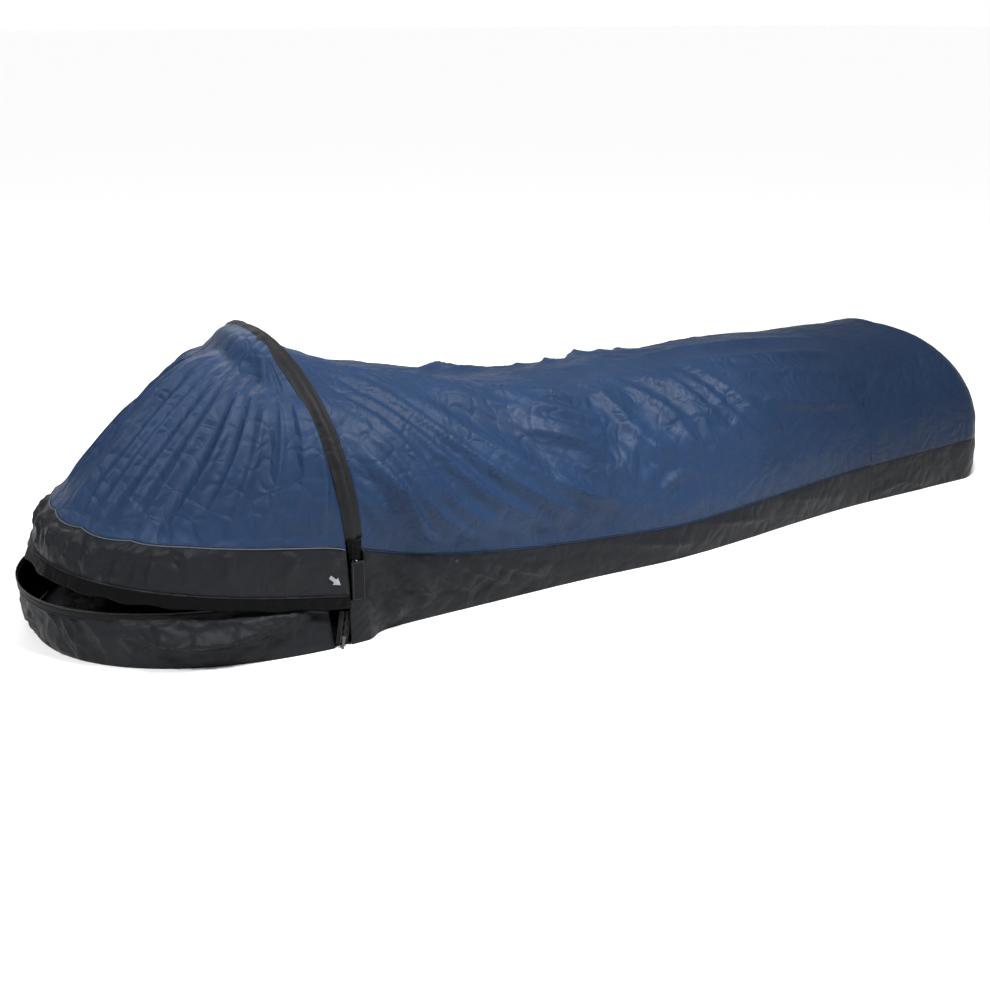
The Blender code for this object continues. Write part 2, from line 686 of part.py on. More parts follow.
# ---------------------------------------------------------------- the zipper
def riser_line(side):
    """Foot and direction of the short upright zipper beside a pole end, with its outward side."""
    foot = place(RISER_FOOT[0], side * RISER_FOOT[1], RISER_FOOT[2])
    head = place(RISER_HEAD[0], side * RISER_HEAD[1], RISER_HEAD[2])
    along = (head - foot).normalized()
    across = (Vector((1, 0, 0)) - along * along.x).normalized()
    out = along.cross(across)
    if out.y * side < 0:
        out = -out
    return foot, head, along, across, out


def make_lip_zip():
    """The lower half of the zipper, along the rim of the lip."""
    cloth("lower_zip_tape", lip_surface(0.90, 1.03, 0.0014), (1, ROUND_STEPS), 0.0008, "trim_black")
    coil = lip_surface(1.055, 1.055)
    rod("lower_zip_coil", [coil(0, i / ROUND_STEPS) for i in range(ROUND_STEPS + 1)], COIL_RADIUS, "zip_coil")


def make_risers():
    """Both halves of the zipper run down to the floor beside each pole end."""
    for name, side in (("right", -1), ("left", 1)):
        foot, head, along, across, out = riser_line(side)
        for half, shift in (("front", -1), ("rear", 1)):
            coil = [foot + across * shift * 0.003, head + across * shift * 0.003]
            rod(f"riser_coil_{half}_{name}", coil, COIL_RADIUS, "zip_coil")

            def tape(u, v, shift=shift):
                wide = mix(0.0045, 0.0105, u if shift > 0 else 1 - u)
                return mix(foot, head, v) + across * shift * wide + out * 0.0004
            cloth(f"riser_tape_{half}_{name}", tape, (1, 1), 0.0008, "trim_black",
                  inward=side < 0)
        stop = block_mesh(f"zip_stop_{name}", (0.010, 0.0034, 0.0024), bevel=0.0004)
        frame = Matrix((across, out, along)).transposed().to_4x4()
        frame.translation = foot - along * 0.0022
        add_object(f"zip_stop_{name}", stop, "moulded_black").matrix_basis = frame


def make_sliders():
    """Two sliders; each is two plates round the coils, a post between them and a hinged pull."""
    for name, side in (("right", -1), ("left", 1)):
        foot, head, along, across, out = riser_line(side)
        frame = Matrix((across, out, along)).transposed().to_4x4()
        frame.translation = foot + along * SLIDER_START
        outer = block_mesh("slider_plate", (0.010, 0.0012, 0.012), (0, 0.0026, 0), 0.0003)
        slider = add_object(f"zip_slider_{name}", outer, "slider_metal")
        slider.matrix_basis = frame
        parts = [("inner", block_mesh("plate", (0.010, 0.0012, 0.012), (0, -0.0026, 0), 0.0003)),
                 ("post", block_mesh("post", (0.0020, 0.0050, 0.0028), (0, 0, 0.0044))),
                 ("lug_a", block_mesh("lug", (0.0012, 0.0036, 0.0036), (0.0034, 0.0046, 0.0036))),
                 ("lug_b", block_mesh("lug", (0.0012, 0.0036, 0.0036), (-0.0034, 0.0046, 0.0036)))]
        for part, mesh in parts:
            combine(slider, add_helper(f"slider_{part}_{name}", mesh, frame), "UNION")
        pin_place = frame @ Matrix.Translation((0, 0.0052, 0.0038))
        pin = round_bar_mesh("pin", 0.0007, 0.0070, "X")
        combine(slider, add_helper(f"slider_pin_{name}", pin, pin_place), "UNION")
        make_pull(name, pin_place, slider)


def make_pull(name, pin_place, slider):
    """A flat pull with a rolled eye round the slider's pin."""
    pull = add_object(f"zip_pull_{name}", round_bar_mesh("eye", 0.0020, 0.0046, "X", 16),
                      "slider_metal", slider)
    pull.matrix_basis = pin_place
    blade = block_mesh("blade", (0.0046, 0.0010, 0.026), (0, 0.0012, -0.013), 0.0002)
    combine(pull, add_helper(f"pull_blade_{name}", blade, pin_place), "UNION")
    bore = round_bar_mesh("bore", 0.0011, 0.02, "X", 16)
    combine(pull, add_helper(f"pull_bore_{name}", bore, pin_place), "DIFFERENCE")


def main():
    clear_scene()
    make_floor()
    make_walls()
    make_top()
    make_pole_pockets()
    make_straps()
    hood = add_pivot("hood_pivot", place(POLE_STATION, 0, PIVOT_HEIGHT))
    make_hood_cloth(hood)
    make_sleeve(hood)
    make_pole(hood)
    make_tabs(hood)
    make_arrow(hood)
    make_net(hood)
    make_lip_zip()
    make_risers()
    make_sliders()


main()
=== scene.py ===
"""Hooped bivy sack: the finished look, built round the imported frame.

Metres, +Z up, +X from the head to the feet; "right" is the -Y side.  Every cloth panel is one
sheet laid on a surface function of the sack's shape.  Folds are routes across that surface, and
crumples come from seeded noise, so each panel comes out the same on every run.
"""

import math

import bpy
import numpy as np
from mathutils import Matrix, Vector


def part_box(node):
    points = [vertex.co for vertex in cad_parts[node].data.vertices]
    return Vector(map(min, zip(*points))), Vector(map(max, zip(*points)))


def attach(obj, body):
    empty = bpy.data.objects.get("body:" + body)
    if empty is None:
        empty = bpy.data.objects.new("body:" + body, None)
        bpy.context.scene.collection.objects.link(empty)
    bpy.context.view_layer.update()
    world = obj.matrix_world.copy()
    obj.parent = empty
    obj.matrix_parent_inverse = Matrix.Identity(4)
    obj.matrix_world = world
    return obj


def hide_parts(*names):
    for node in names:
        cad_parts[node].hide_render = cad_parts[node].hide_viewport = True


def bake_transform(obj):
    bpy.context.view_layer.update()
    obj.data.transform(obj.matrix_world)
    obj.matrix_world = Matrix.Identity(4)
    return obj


bl_info = {
    "name": "Hooped bivy sack",
    "version": (1, 0, 0),
    "blender": (4, 5, 0),
    "location": "View3D > Sidebar > Bivy sack",
    "description": "Builds the cloth, zipper and fittings of a hooped bivy sack round its frame",
    "category": "Add Mesh",
}

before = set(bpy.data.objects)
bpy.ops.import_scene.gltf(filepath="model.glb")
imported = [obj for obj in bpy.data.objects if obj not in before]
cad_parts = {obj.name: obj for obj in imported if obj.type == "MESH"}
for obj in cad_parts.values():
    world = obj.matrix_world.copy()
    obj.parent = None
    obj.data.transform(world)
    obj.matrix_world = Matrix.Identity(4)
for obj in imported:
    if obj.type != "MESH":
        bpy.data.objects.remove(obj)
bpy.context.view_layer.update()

# ---------------------------------------------------------------- sizes shared with the frame
LENGTH = 2.16
POLE_STATION = 0.50
TOE_SEAM = 1.78
SPINE_END = 1.99
HEAD_HALF_WIDTH = 0.329
SHOULDER_HALF_WIDTH = 0.301
FOOT_HALF_WIDTH = 0.269
FOOT_CORNER = 0.07
LIP_DEPTH = 0.483
LIP_FLARE = 0.015
LIP_TUCK = 0.020
LIP_HEIGHT = 0.092
ARCH_HEIGHT = 0.499
ARCH_LEAN = 0.050
ARCH_BASE_HALF = 0.316
ARCH_SEAM_HALF = 0.3135
SEAM_AT_POLE = 0.172
SEAM_AT_BODY = 0.066
SEAM_AT_FOOT = 0.096
RIDGE_HEIGHT = 0.336
TOP_ROUNDNESS = 2.15
PLAN_ROUNDNESS = 2.14
HOOD_TOP_ROUNDNESS = 1.45
SLEEVE_HALF_WIDTH = 0.016
HEM_AT_POLE = 0.090
HEM_AT_FRONT = 0.155
BAND_FRONT = 0.026
BAND_LEVEL = 0.135
BAND_SLOPE = 0.41
BAND_TOP = 0.20
FLAP_HEIGHT = 0.022
TAB_FOOT = 0.078
PIVOT_HEIGHT = 0.008
FLOOR_THICK = 0.003
RISER_FOOT = (0.461, 0.3285, 0.006)
RISER_HEAD = (0.475, 0.3185, 0.062)
HIP_STATION = 1.20
HIP_FULLNESS = 0.012
TAPER_START = 1.30
TAPER_RUN = 0.48
POCKET_RUN = 0.04
WAIST_STATION = 1.02
WAIST_SAG = 0.012
WALL_START = 0.515         # the walls begin under the sleeve, a little behind the pole

TOP_GIRTH = 0.95           # seam to seam over the ridge, used to give folds their real width


# ---------------------------------------------------------------- small sums on arrays
def mix(a, b, t):
    return a + (b - a) * t


def smooth(t):
    t = np.clip(t, 0.0, 1.0)
    return t * t * (3 - 2 * t)


def place(station, y, z):
    """Points given by their distance from the head end."""
    station, y, z = np.broadcast_arrays(station, y, z)
    return np.stack([station - LENGTH / 2, y, z], -1).astype(float)


def lobe(angle, exponent):
    """Cosine and sine of a superellipse."""
    power = 2 / exponent
    c = np.cos(angle)
    return np.copysign(np.abs(c) ** power, c), np.maximum(np.sin(angle), 0.0) ** power


def cloud(x, y, seed):
    """Smooth random heights from -1 to 1 over a plane, one bump to each unit."""
    table = np.random.default_rng(seed).uniform(-1, 1, (64, 64))
    turned = x * 0.81 + y * 0.59, y * 0.81 - x * 0.59
    cell = [np.floor(t).astype(int) for t in turned]
    part = [smooth(t - c) for t, c in zip(turned, cell)]

    def corner(i, j):
        return table[(cell[0] + i) % 64, (cell[1] + j) % 64]
    low = mix(corner(0, 0), corner(1, 0), part[0])
    high = mix(corner(0, 1), corner(1, 1), part[0])
    return mix(low, high, part[1])


def crumple(x, y, size, seed, octaves=3):
    """Sharp-edged dents, as in coated cloth that was crushed and opened, from about -1 to 1."""
    stray = 0.7 * cloud(x / size * 0.6, y / size * 0.6, seed + 50)
    total = 0.0
    for octave in range(octaves):
        step = 2 ** octave / size
        ridge = 1 - 2.4 * np.abs(cloud(x * step + stray, y * step - stray, seed + octave))
        total = total + ridge / 1.9 ** octave
    return total / 1.5


# ---------------------------------------------------------------- shape of the sack
def ground_half_width(station):
    pole_pocket = (HEAD_HALF_WIDTH - SHOULDER_HALF_WIDTH) * np.exp(
        -((station - POLE_STATION) / POCKET_RUN) ** 2)
    hips = HIP_FULLNESS * np.exp(-((station - HIP_STATION) / 0.16) ** 2)
    taper = (SHOULDER_HALF_WIDTH - FOOT_HALF_WIDTH) * smooth((station - TAPER_START) / TAPER_RUN)
    return SHOULDER_HALF_WIDTH + pole_pocket + hips - taper


def top_half_width(station):
    past_pole = station - POLE_STATION
    extra = ARCH_SEAM_HALF - SHOULDER_HALF_WIDTH
    pocket = (HEAD_HALF_WIDTH - SHOULDER_HALF_WIDTH) * np.exp(-(past_pole / POCKET_RUN) ** 2)
    return ground_half_width(station) - pocket + extra * np.exp(-past_pole / 0.06)


def seam_height(station):
    falling = (SEAM_AT_POLE - SEAM_AT_BODY) * np.exp(-(station - POLE_STATION) / 0.26)
    rising = (SEAM_AT_FOOT - SEAM_AT_BODY) * np.clip((station - 1.22) / 0.85, 0.0, 1.0)
    return SEAM_AT_BODY + falling + rising


def ridge_height(station):
    drop = np.exp(-(station - POLE_STATION) / 0.165)
    sag = WAIST_SAG * np.exp(-((station - WAIST_STATION) / 0.16) ** 2)
    return RIDGE_HEIGHT + (ARCH_HEIGHT - RIDGE_HEIGHT) * drop - sag


def lean(z):
    return ARCH_LEAN * (np.maximum(z, 0.0) / ARCH_HEIGHT) ** 3


def arch_half_width(z):
    rise = np.clip((z - SEAM_AT_POLE) / (ARCH_HEIGHT - SEAM_AT_POLE), 0.0, 1.0)
    crown = ARCH_SEAM_HALF * (1 - rise ** TOP_ROUNDNESS) ** (1 / TOP_ROUNDNESS)
    return np.where(z <= SEAM_AT_POLE, mix(ARCH_BASE_HALF, ARCH_SEAM_HALF, z / SEAM_AT_POLE), crown)


def top_rib(station, half, angle):
    centre = np.minimum(station, SPINE_END)
    across, up = lobe(angle, TOP_ROUNDNESS)
    z = mix(seam_height(station), ridge_height(centre), up)
    fade = np.maximum(0.0, 1 - (station - POLE_STATION) / 0.45) ** 2
    x = centre + (station - centre) * np.abs(across) - lean(z) * fade
    return place(x, -half * across, z)


def toe_outline(t, half):
    """Plan of the toe box: t from 0 at the toe seam, round the corner, to 1 at the centre."""
    side = LENGTH - FOOT_CORNER - TOE_SEAM
    arc = FOOT_CORNER * math.pi / 2
    end = half - FOOT_CORNER
    run = t * (side + arc + end)
    turn = np.clip((run - side) / FOOT_CORNER, 0.0, math.pi / 2)
    station = np.where(run <= side, TOE_SEAM + run, LENGTH - FOOT_CORNER + FOOT_CORNER * np.sin(turn))
    y = np.where(run <= side + arc, end + FOOT_CORNER * np.cos(turn), end - (run - side - arc))
    return station, y


def hem_height(angle):
    return mix(HEM_AT_POLE, HEM_AT_FRONT, np.maximum(np.sin(angle), 0.0) ** 0.8)


def hood_seam_height(angle):
    """The band's upper seam; its cloth is pulled into scallops across the front."""
    front = smooth((np.sin(angle) - 0.55) / 0.35)
    scallop = 0.0045 * front * np.abs(np.sin(angle * 9.5 + 0.6)) ** 0.7
    return SEAM_AT_POLE + 0.048 * np.maximum(np.sin(angle), 0.0) ** 0.5 - scallop


def hood_point(angle, z, inset=0.0):
    """Front of the hood: a level slice at height z, angle 0 at the right end of the pole."""
    top = ARCH_HEIGHT - 0.006
    rear = POLE_STATION - lean(z) - SLEEVE_HALF_WIDTH - 0.0015
    foot = BAND_FRONT + BAND_SLOPE * (BAND_TOP - BAND_LEVEL)
    peak = POLE_STATION - lean(top) - SLEEVE_HALF_WIDTH - 0.0015
    slope = mix(foot, peak, (z - BAND_TOP) / (top - BAND_TOP))
    front = np.where(z < BAND_TOP, BAND_FRONT + BAND_SLOPE * (z - BAND_LEVEL), slope)
    rise = np.clip((z - 0.15) / (ARCH_HEIGHT - 0.15), 0.0, 1.0)
    across, forward = lobe(angle, mix(PLAN_ROUNDNESS, HOOD_TOP_ROUNDNESS, rise))
    half = arch_half_width(z) + 0.010 * (1 - smooth((z - 0.09) / 0.2)) - inset
    return place(rear - (rear - front - inset) * forward, -half * across, z)


def lip_point(angle, height, proud=0.0):
    """Tub wall round the head: height from 0 on the ground to 1 at the rim."""
    across, forward = lobe(angle, PLAN_ROUNDNESS)
    depth = LIP_DEPTH + LIP_FLARE * height + proud
    half = HEAD_HALF_WIDTH - LIP_TUCK * height + proud
    dip = 0.030 * np.exp(-(forward / 0.16) ** 2)
    return place(POLE_STATION - depth * forward, -half * across, (LIP_HEIGHT - dip) * height)


LIP_START = math.asin(((POLE_STATION - RISER_FOOT[0] + 0.012) / LIP_DEPTH) ** (PLAN_ROUNDNESS / 2))


def wall_point(station, share, side):
    """Dark wall of one side: share from 0 on the ground to 1 at the seam."""
    half = mix(ground_half_width(station), top_half_width(station), share)
    return place(station, side * (half + 0.004 * np.sin(math.pi * share)), seam_height(station) * share)


def arch_line(count=400):
    """Centre line of the pole from its right end to its left."""
    legs = [(mix(ARCH_BASE_HALF, ARCH_SEAM_HALF, i / 25), mix(PIVOT_HEIGHT, SEAM_AT_POLE, i / 25))
            for i in range(25)]
    points = list(legs)
    for i in range(count + 1):
        across, up = lobe(math.pi * i / count, TOP_ROUNDNESS)
        points.append((ARCH_SEAM_HALF * float(across), mix(SEAM_AT_POLE, ARCH_HEIGHT, float(up))))
    points += [(-y, z) for y, z in reversed(legs)]
    y, z = np.array(points).T
    return place(POLE_STATION - lean(z) + lean(PIVOT_HEIGHT), -y, z)


ARCH_LINE = arch_line()
ARCH_RUN = np.concatenate([[0.0], np.cumsum(np.linalg.norm(np.diff(ARCH_LINE, axis=0), axis=1))])
ARCH_LENGTH = float(ARCH_RUN[-1])


def arch_at(run):
    return np.stack([np.interp(run, ARCH_RUN, ARCH_LINE[:, i]) for i in range(3)], -1)


def arch_frame(run):
    """Points on the pole, the directions across the sleeve, and the directions outwards."""
    along = unit(arch_at(np.asarray(run) + 0.006) - arch_at(np.asarray(run) - 0.006))
    across = unit(np.array([1.0, 0, 0]) - along * along[..., :1])
    return arch_at(run), across, unit(np.cross(across, along))


def unit(v):
    return v / np.maximum(np.linalg.norm(v, axis=-1, keepdims=True), 1e-9)


def run_at_height(z):
    return float(ARCH_RUN[np.argmax(ARCH_LINE[:, 2] >= z)])


# ---------------------------------------------------------------- folds across a surface
def follow(points, normals, route):
    """How far each point is along a route, from 0 to 1, and how far it is to the left of it."""
    a, b = route[:-1], route[1:]
    length = np.linalg.norm(b - a, axis=1)
    reach = np.concatenate([[0.0], np.cumsum(length)])
    best = np.full(len(points), 1e9)
    along, off = np.zeros(len(points)), np.zeros(len(points))
    for i, (p, q) in enumerate(zip(a, b)):
        d = (q - p) / length[i]
        t = np.clip((points - p) @ d, 0.0, length[i])
        gap = points - (p + t[:, None] * d)
        far = np.linalg.norm(gap, axis=1)
        near = far < best
        side = np.sign(np.einsum("ij,ij->i", np.cross(normals, d), gap))
        best = np.where(near, far, best)
        along = np.where(near, (reach[i] + t) / reach[-1], along)
        off = np.where(near, side * far, off)
    return along, off


def curve_through(points, count=14):
    """A smooth curve through a few chosen points."""
    points = np.array(points, float)
    ghosts = np.vstack([2 * points[0] - points[1], points, 2 * points[-1] - points[-2]])
    spots = []
    for t in np.linspace(0, len(points) - 1 - 1e-9, count):
        i, f = int(t), t - int(t)
        p0, p1, p2, p3 = ghosts[i:i + 4]
        spots.append(0.5 * (2 * p1 + (p2 - p0) * f + (2 * p0 - 5 * p1 + 4 * p2 - p3) * f ** 2
                            + (3 * p1 - p0 - 3 * p2 + p3) * f ** 3))
    return np.array(spots)


def fold_height(points, normals, route, height, wide, steep=0.35, ends=0.6):
    """One fold: it rises over `wide` on its left, drops over a share of that on its right."""
    along, off = follow(points, normals, route)
    run_out = np.sin(math.pi * np.clip(along, 0, 1)) ** ends
    reach = np.where(off > 0, wide, wide * steep)
    return height * run_out * np.exp(-(np.abs(off) / reach) ** 1.15)


# ---------------------------------------------------------------- making cloth
def deselect_all():
    for each in bpy.context.selected_objects:
        each.select_set(False)


def select_only(obj):
    deselect_all()
    bpy.context.view_layer.objects.active = obj
    obj.select_set(True)


def outward(points, normals):
    """Normals turned away from the inside of the sack."""
    middle = np.array([0.0, 0.0, 0.05])
    inside = np.broadcast_to(middle, points.shape).copy()
    inside[:, 0] = np.clip(points[:, 0], POLE_STATION - LENGTH / 2, SPINE_END - LENGTH / 2)
    flip = np.einsum("ij,ij->i", normals, points - inside) < 0
    return np.where(flip[:, None], -normals, normals)


def sheet_normals(surface, u, v):
    step = 0.004
    du = surface(np.clip(u + step, 0, 1), v) - surface(np.clip(u - step, 0, 1), v)
    dv = surface(u, np.clip(v + step, 0, 1)) - surface(u, np.clip(v - step, 0, 1))
    return unit(np.cross(du, dv))


def lay_sheet(name, surface, steps, cut, relief=None, thickness=0.0009, material=None):
    """A grid laid on a surface function, pushed out by its relief, and given a thickness.

    cut is the sheet's size in metres along u and v; the UV map is in metres, for the weave.
    """
    deselect_all()
    bpy.ops.mesh.primitive_grid_add(x_subdivisions=steps[0], y_subdivisions=steps[1], size=2,
                                    calc_uvs=True)
    obj = bpy.context.object
    obj.name = obj.data.name = name
    mesh = obj.data
    flat = np.zeros(len(mesh.vertices) * 3)
    mesh.vertices.foreach_get("co", flat)
    u, v = (flat.reshape(-1, 3)[:, :2].T + 1) / 2
    points = surface(u, v)
    normals = outward(points, sheet_normals(surface, u, v))
    if relief:
        points = points + normals * relief(u, v, points, normals)[:, None]
    mesh.vertices.foreach_set("co", points.ravel())
    uv = np.zeros(len(mesh.loops) * 2)
    layer = mesh.uv_layers.active.data
    layer.foreach_get("uv", uv)
    layer.foreach_set("uv", (uv.reshape(-1, 2) * np.array(cut)).ravel())
    mesh.update()
    first = mesh.polygons[len(mesh.polygons) // 2 + steps[0] // 2]
    spot = np.array(first.center)
    nearest = int(np.argmin(np.linalg.norm(points - spot, axis=1)))
    if float(np.dot(np.array(first.normal), normals[nearest])) < 0:
        mesh.flip_normals()
    finish_sheet(obj, thickness, material)
    return obj


def finish_sheet(obj, thickness, material):
    select_only(obj)
    bpy.ops.object.mode_set(mode="EDIT")
    bpy.ops.mesh.select_all(action="SELECT")
    bpy.ops.mesh.remove_doubles(threshold=0.00002)
    bpy.ops.mesh.dissolve_degenerate(threshold=0.00002)
    bpy.ops.object.mode_set(mode="OBJECT")
    thicken = obj.modifiers.new("cloth", "SOLIDIFY")
    thicken.thickness = thickness
    thicken.offset = -1
    bpy.ops.object.modifier_apply(modifier=thicken.name)
    bpy.ops.object.shade_smooth()
    if material:
        obj.data.materials.clear()
        obj.data.materials.append(material)


def tube_piece(name, points, radius, material, sides=3):
    """A round cord or piping along points, as a mesh."""
    deselect_all()
    data = bpy.data.curves.new(name, "CURVE")
    data.dimensions = "3D"
    data.bevel_depth = radius
    data.bevel_resolution = sides
    data.use_fill_caps = True
    spline = data.splines.new("POLY")
    spline.points.add(len(points) - 1)
    spline.points.foreach_set("co", np.hstack([points, np.ones((len(points), 1))]).ravel())
    obj = bpy.data.objects.new(name, data)
    bpy.context.scene.collection.objects.link(obj)
    select_only(obj)
    bpy.ops.object.convert(target="MESH")
    obj = bpy.context.object
    obj.name = obj.data.name = name
    obj.data.materials.clear()
    obj.data.materials.append(material)
    bpy.ops.object.shade_smooth_by_angle(angle=math.radians(50))
    return obj


# ---------------------------------------------------------------- finishes
def add_node(tree, kind, inputs=None, **settings):
    made = tree.nodes.new(kind)
    for key, value in settings.items():
        setattr(made, key, value)
    for key, value in (inputs or {}).items():
        if isinstance(value, bpy.types.NodeSocket):
            tree.links.new(value, made.inputs[key])
        else:
            made.inputs[key].default_value = value
    return made


def new_material(name):
    material = bpy.data.materials.new(name)
    material.use_nodes = True
    tree = material.node_tree
    tree.nodes.clear()
    shader = add_node(tree, "ShaderNodeBsdfPrincipled")
    out = add_node(tree, "ShaderNodeOutputMaterial", {"Surface": shader.outputs["BSDF"]})
    out.location = (400, 0)
    return material, tree, shader


def ramp_between(tree, factor, dark, light):
    ramp = add_node(tree, "ShaderNodeValToRGB", {"Fac": factor})
    ramp.color_ramp.elements[0].color = (*dark, 1)
    ramp.color_ramp.elements[1].color = (*light, 1)
    ramp.color_ramp.elements[0].position = 0.3
    ramp.color_ramp.elements[1].position = 0.72
    return ramp.outputs["Color"]


def coated_nylon(name, colour, shade=0.82, rough=(0.40, 0.54), thread=0.0006, crinkle=1.0,
                 gloss_level=0.13, painted_foot_shade=None):
    """Thin coated nylon: plain weave, soft gloss, fine crinkles, slightly uneven dye, and optional painted
    shade that darkens it along X towards the foot.
    """
    material, tree, shader = new_material(name)
    where = add_node(tree, "ShaderNodeTexCoord")
    dye = add_node(tree, "ShaderNodeTexNoise", {"Vector": where.outputs["Object"], "Scale": 5.0,
                                                "Detail": 4.0, "Roughness": 0.6})
    light = tuple(min(1.0, c * 1.10) for c in colour)
    dark = tuple(c * shade for c in colour)
    base = ramp_between(tree, dye.outputs["Fac"], dark, light)
    threads = []
    for direction in ("X", "Y"):
        wave = add_node(tree, "ShaderNodeTexWave",
                        {"Vector": where.outputs["UV"], "Scale": 0.314 / thread, "Distortion": 0.0},
                        wave_type="BANDS", bands_direction=direction)
        threads.append(wave.outputs["Fac"])
    weave = add_node(tree, "ShaderNodeMath", {0: threads[0], 1: threads[1]}, operation="MAXIMUM")
    tint = add_node(tree, "ShaderNodeMapRange", {"Value": weave.outputs[0], "To Min": 0.90, "To Max": 1.0})
    shaded = add_node(tree, "ShaderNodeVectorMath", {0: base, 1: tint.outputs[0]}, operation="MULTIPLY")
    # painted shade: the colour darkens along object X from the first value to the second, down to the third
    # as a factor, standing in for the shade on the foot end
    if painted_foot_shade:
        along = add_node(tree, "ShaderNodeSeparateXYZ", {"Vector": where.outputs["Object"]})
        fade = add_node(tree, "ShaderNodeMapRange", {"Value": along.outputs["X"], "From Min": painted_foot_shade[0],
                                                     "From Max": painted_foot_shade[1], "To Max": painted_foot_shade[2],
                                                     "To Min": 1.0}, interpolation_type="SMOOTHSTEP")
        shaded = add_node(tree, "ShaderNodeVectorMath", {0: shaded.outputs[0], 1: fade.outputs[0]},
                          operation="MULTIPLY")
    tree.links.new(shaded.outputs[0], shader.inputs["Base Color"])
    gloss = add_node(tree, "ShaderNodeTexNoise", {"Vector": where.outputs["Object"], "Scale": 22.0,
                                                  "Detail": 5.0, "Roughness": 0.6})
    rough_range = add_node(tree, "ShaderNodeMapRange", {"Value": gloss.outputs["Fac"], "From Min": 0.3,
                                                        "From Max": 0.7, "To Min": rough[0],
                                                        "To Max": rough[1]})
    tree.links.new(rough_range.outputs[0], shader.inputs["Roughness"])
    stray = add_node(tree, "ShaderNodeTexNoise", {"Vector": where.outputs["Object"], "Scale": 9.0,
                                                  "Detail": 2.0})
    bent = add_node(tree, "ShaderNodeVectorMath",
                    {0: stray.outputs["Color"], 1: (0.10, 0.10, 0.10), 2: where.outputs["Object"]},
                    operation="MULTIPLY_ADD")
    cells = add_node(tree, "ShaderNodeTexVoronoi", {"Vector": bent.outputs[0], "Scale": 26.0,
                                                    "Randomness": 1.0}, feature="DISTANCE_TO_EDGE")
    crease = add_node(tree, "ShaderNodeMapRange", {"Value": cells.outputs["Distance"], "From Max": 0.25})
    planes = add_node(tree, "ShaderNodeTexVoronoi", {"Vector": bent.outputs[0], "Scale": 11.0,
                                                     "Randomness": 1.0}, feature="F1")
    fine = add_node(tree, "ShaderNodeTexNoise", {"Vector": bent.outputs[0], "Scale": 85.0, "Detail": 6.0,
                                                 "Roughness": 0.55, "Distortion": 0.4})
    step = add_node(tree, "ShaderNodeBump", {"Height": planes.outputs["Distance"],
                                             "Strength": 0.35 * crinkle, "Distance": 0.012})
    step = add_node(tree, "ShaderNodeBump", {"Normal": step.outputs[0], "Height": crease.outputs[0],
                                             "Strength": 0.30 * crinkle, "Distance": 0.005})
    step = add_node(tree, "ShaderNodeBump", {"Height": fine.outputs["Fac"], "Strength": 0.30 * crinkle,
                                             "Distance": 0.0025, "Normal": step.outputs[0]})
    step = add_node(tree, "ShaderNodeBump", {"Height": weave.outputs[0], "Strength": 0.25,
                                             "Distance": 0.0002, "Normal": step.outputs[0]})
    tree.links.new(step.outputs[0], shader.inputs["Normal"])
    shader.inputs["Specular IOR Level"].default_value = gloss_level
    return material


def moulded(name, colour, rough=0.45, grain=900.0):
    """Moulded plastic with a fine spark-eroded grain and duller worn patches."""
    material, tree, shader = new_material(name)
    where = add_node(tree, "ShaderNodeTexCoord")
    wear = add_node(tree, "ShaderNodeTexNoise", {"Vector": where.outputs["Object"], "Scale": 120.0,
                                                 "Detail": 4.0})
    light = tuple(min(1.0, c * 1.6 + 0.01) for c in colour)
    tree.links.new(ramp_between(tree, wear.outputs["Fac"], colour, light), shader.inputs["Base Color"])
    spread = add_node(tree, "ShaderNodeMapRange", {"Value": wear.outputs["Fac"], "To Min": rough - 0.1,
                                                   "To Max": rough + 0.15})
    tree.links.new(spread.outputs[0], shader.inputs["Roughness"])
    pits = add_node(tree, "ShaderNodeTexNoise", {"Vector": where.outputs["Object"], "Scale": grain,
                                                 "Detail": 2.0})
    bump = add_node(tree, "ShaderNodeBump", {"Height": pits.outputs["Fac"], "Strength": 0.2,
                                             "Distance": 0.0003})
    tree.links.new(bump.outputs[0], shader.inputs["Normal"])
    return material


def drawn_metal(name, colour, rough=0.28):
    """Anodised or painted metal with drawing lines along it and lighter rubbed patches scattered over it."""
    material, tree, shader = new_material(name)
    where = add_node(tree, "ShaderNodeTexCoord")
    stretch = add_node(tree, "ShaderNodeMapping", {"Vector": where.outputs["Object"],
                                                   "Scale": (60.0, 1400.0, 60.0)})
    lines = add_node(tree, "ShaderNodeTexNoise", {"Vector": stretch.outputs[0], "Scale": 1.0, "Detail": 3.0})
    rub = add_node(tree, "ShaderNodeTexNoise", {"Vector": where.outputs["Object"], "Scale": 90.0,
                                                "Detail": 5.0})
    light = tuple(min(1.0, c * 1.25 + 0.02) for c in colour)
    tree.links.new(ramp_between(tree, rub.outputs["Fac"], colour, light), shader.inputs["Base Color"])
    spread = add_node(tree, "ShaderNodeMapRange", {"Value": lines.outputs["Fac"], "To Min": rough - 0.08,
                                                   "To Max": rough + 0.14})
    tree.links.new(spread.outputs[0], shader.inputs["Roughness"])
    bump = add_node(tree, "ShaderNodeBump", {"Height": lines.outputs["Fac"], "Strength": 0.12,
                                             "Distance": 0.0002})
    tree.links.new(bump.outputs[0], shader.inputs["Normal"])
    shader.inputs["Metallic"].default_value = 1.0
    return material


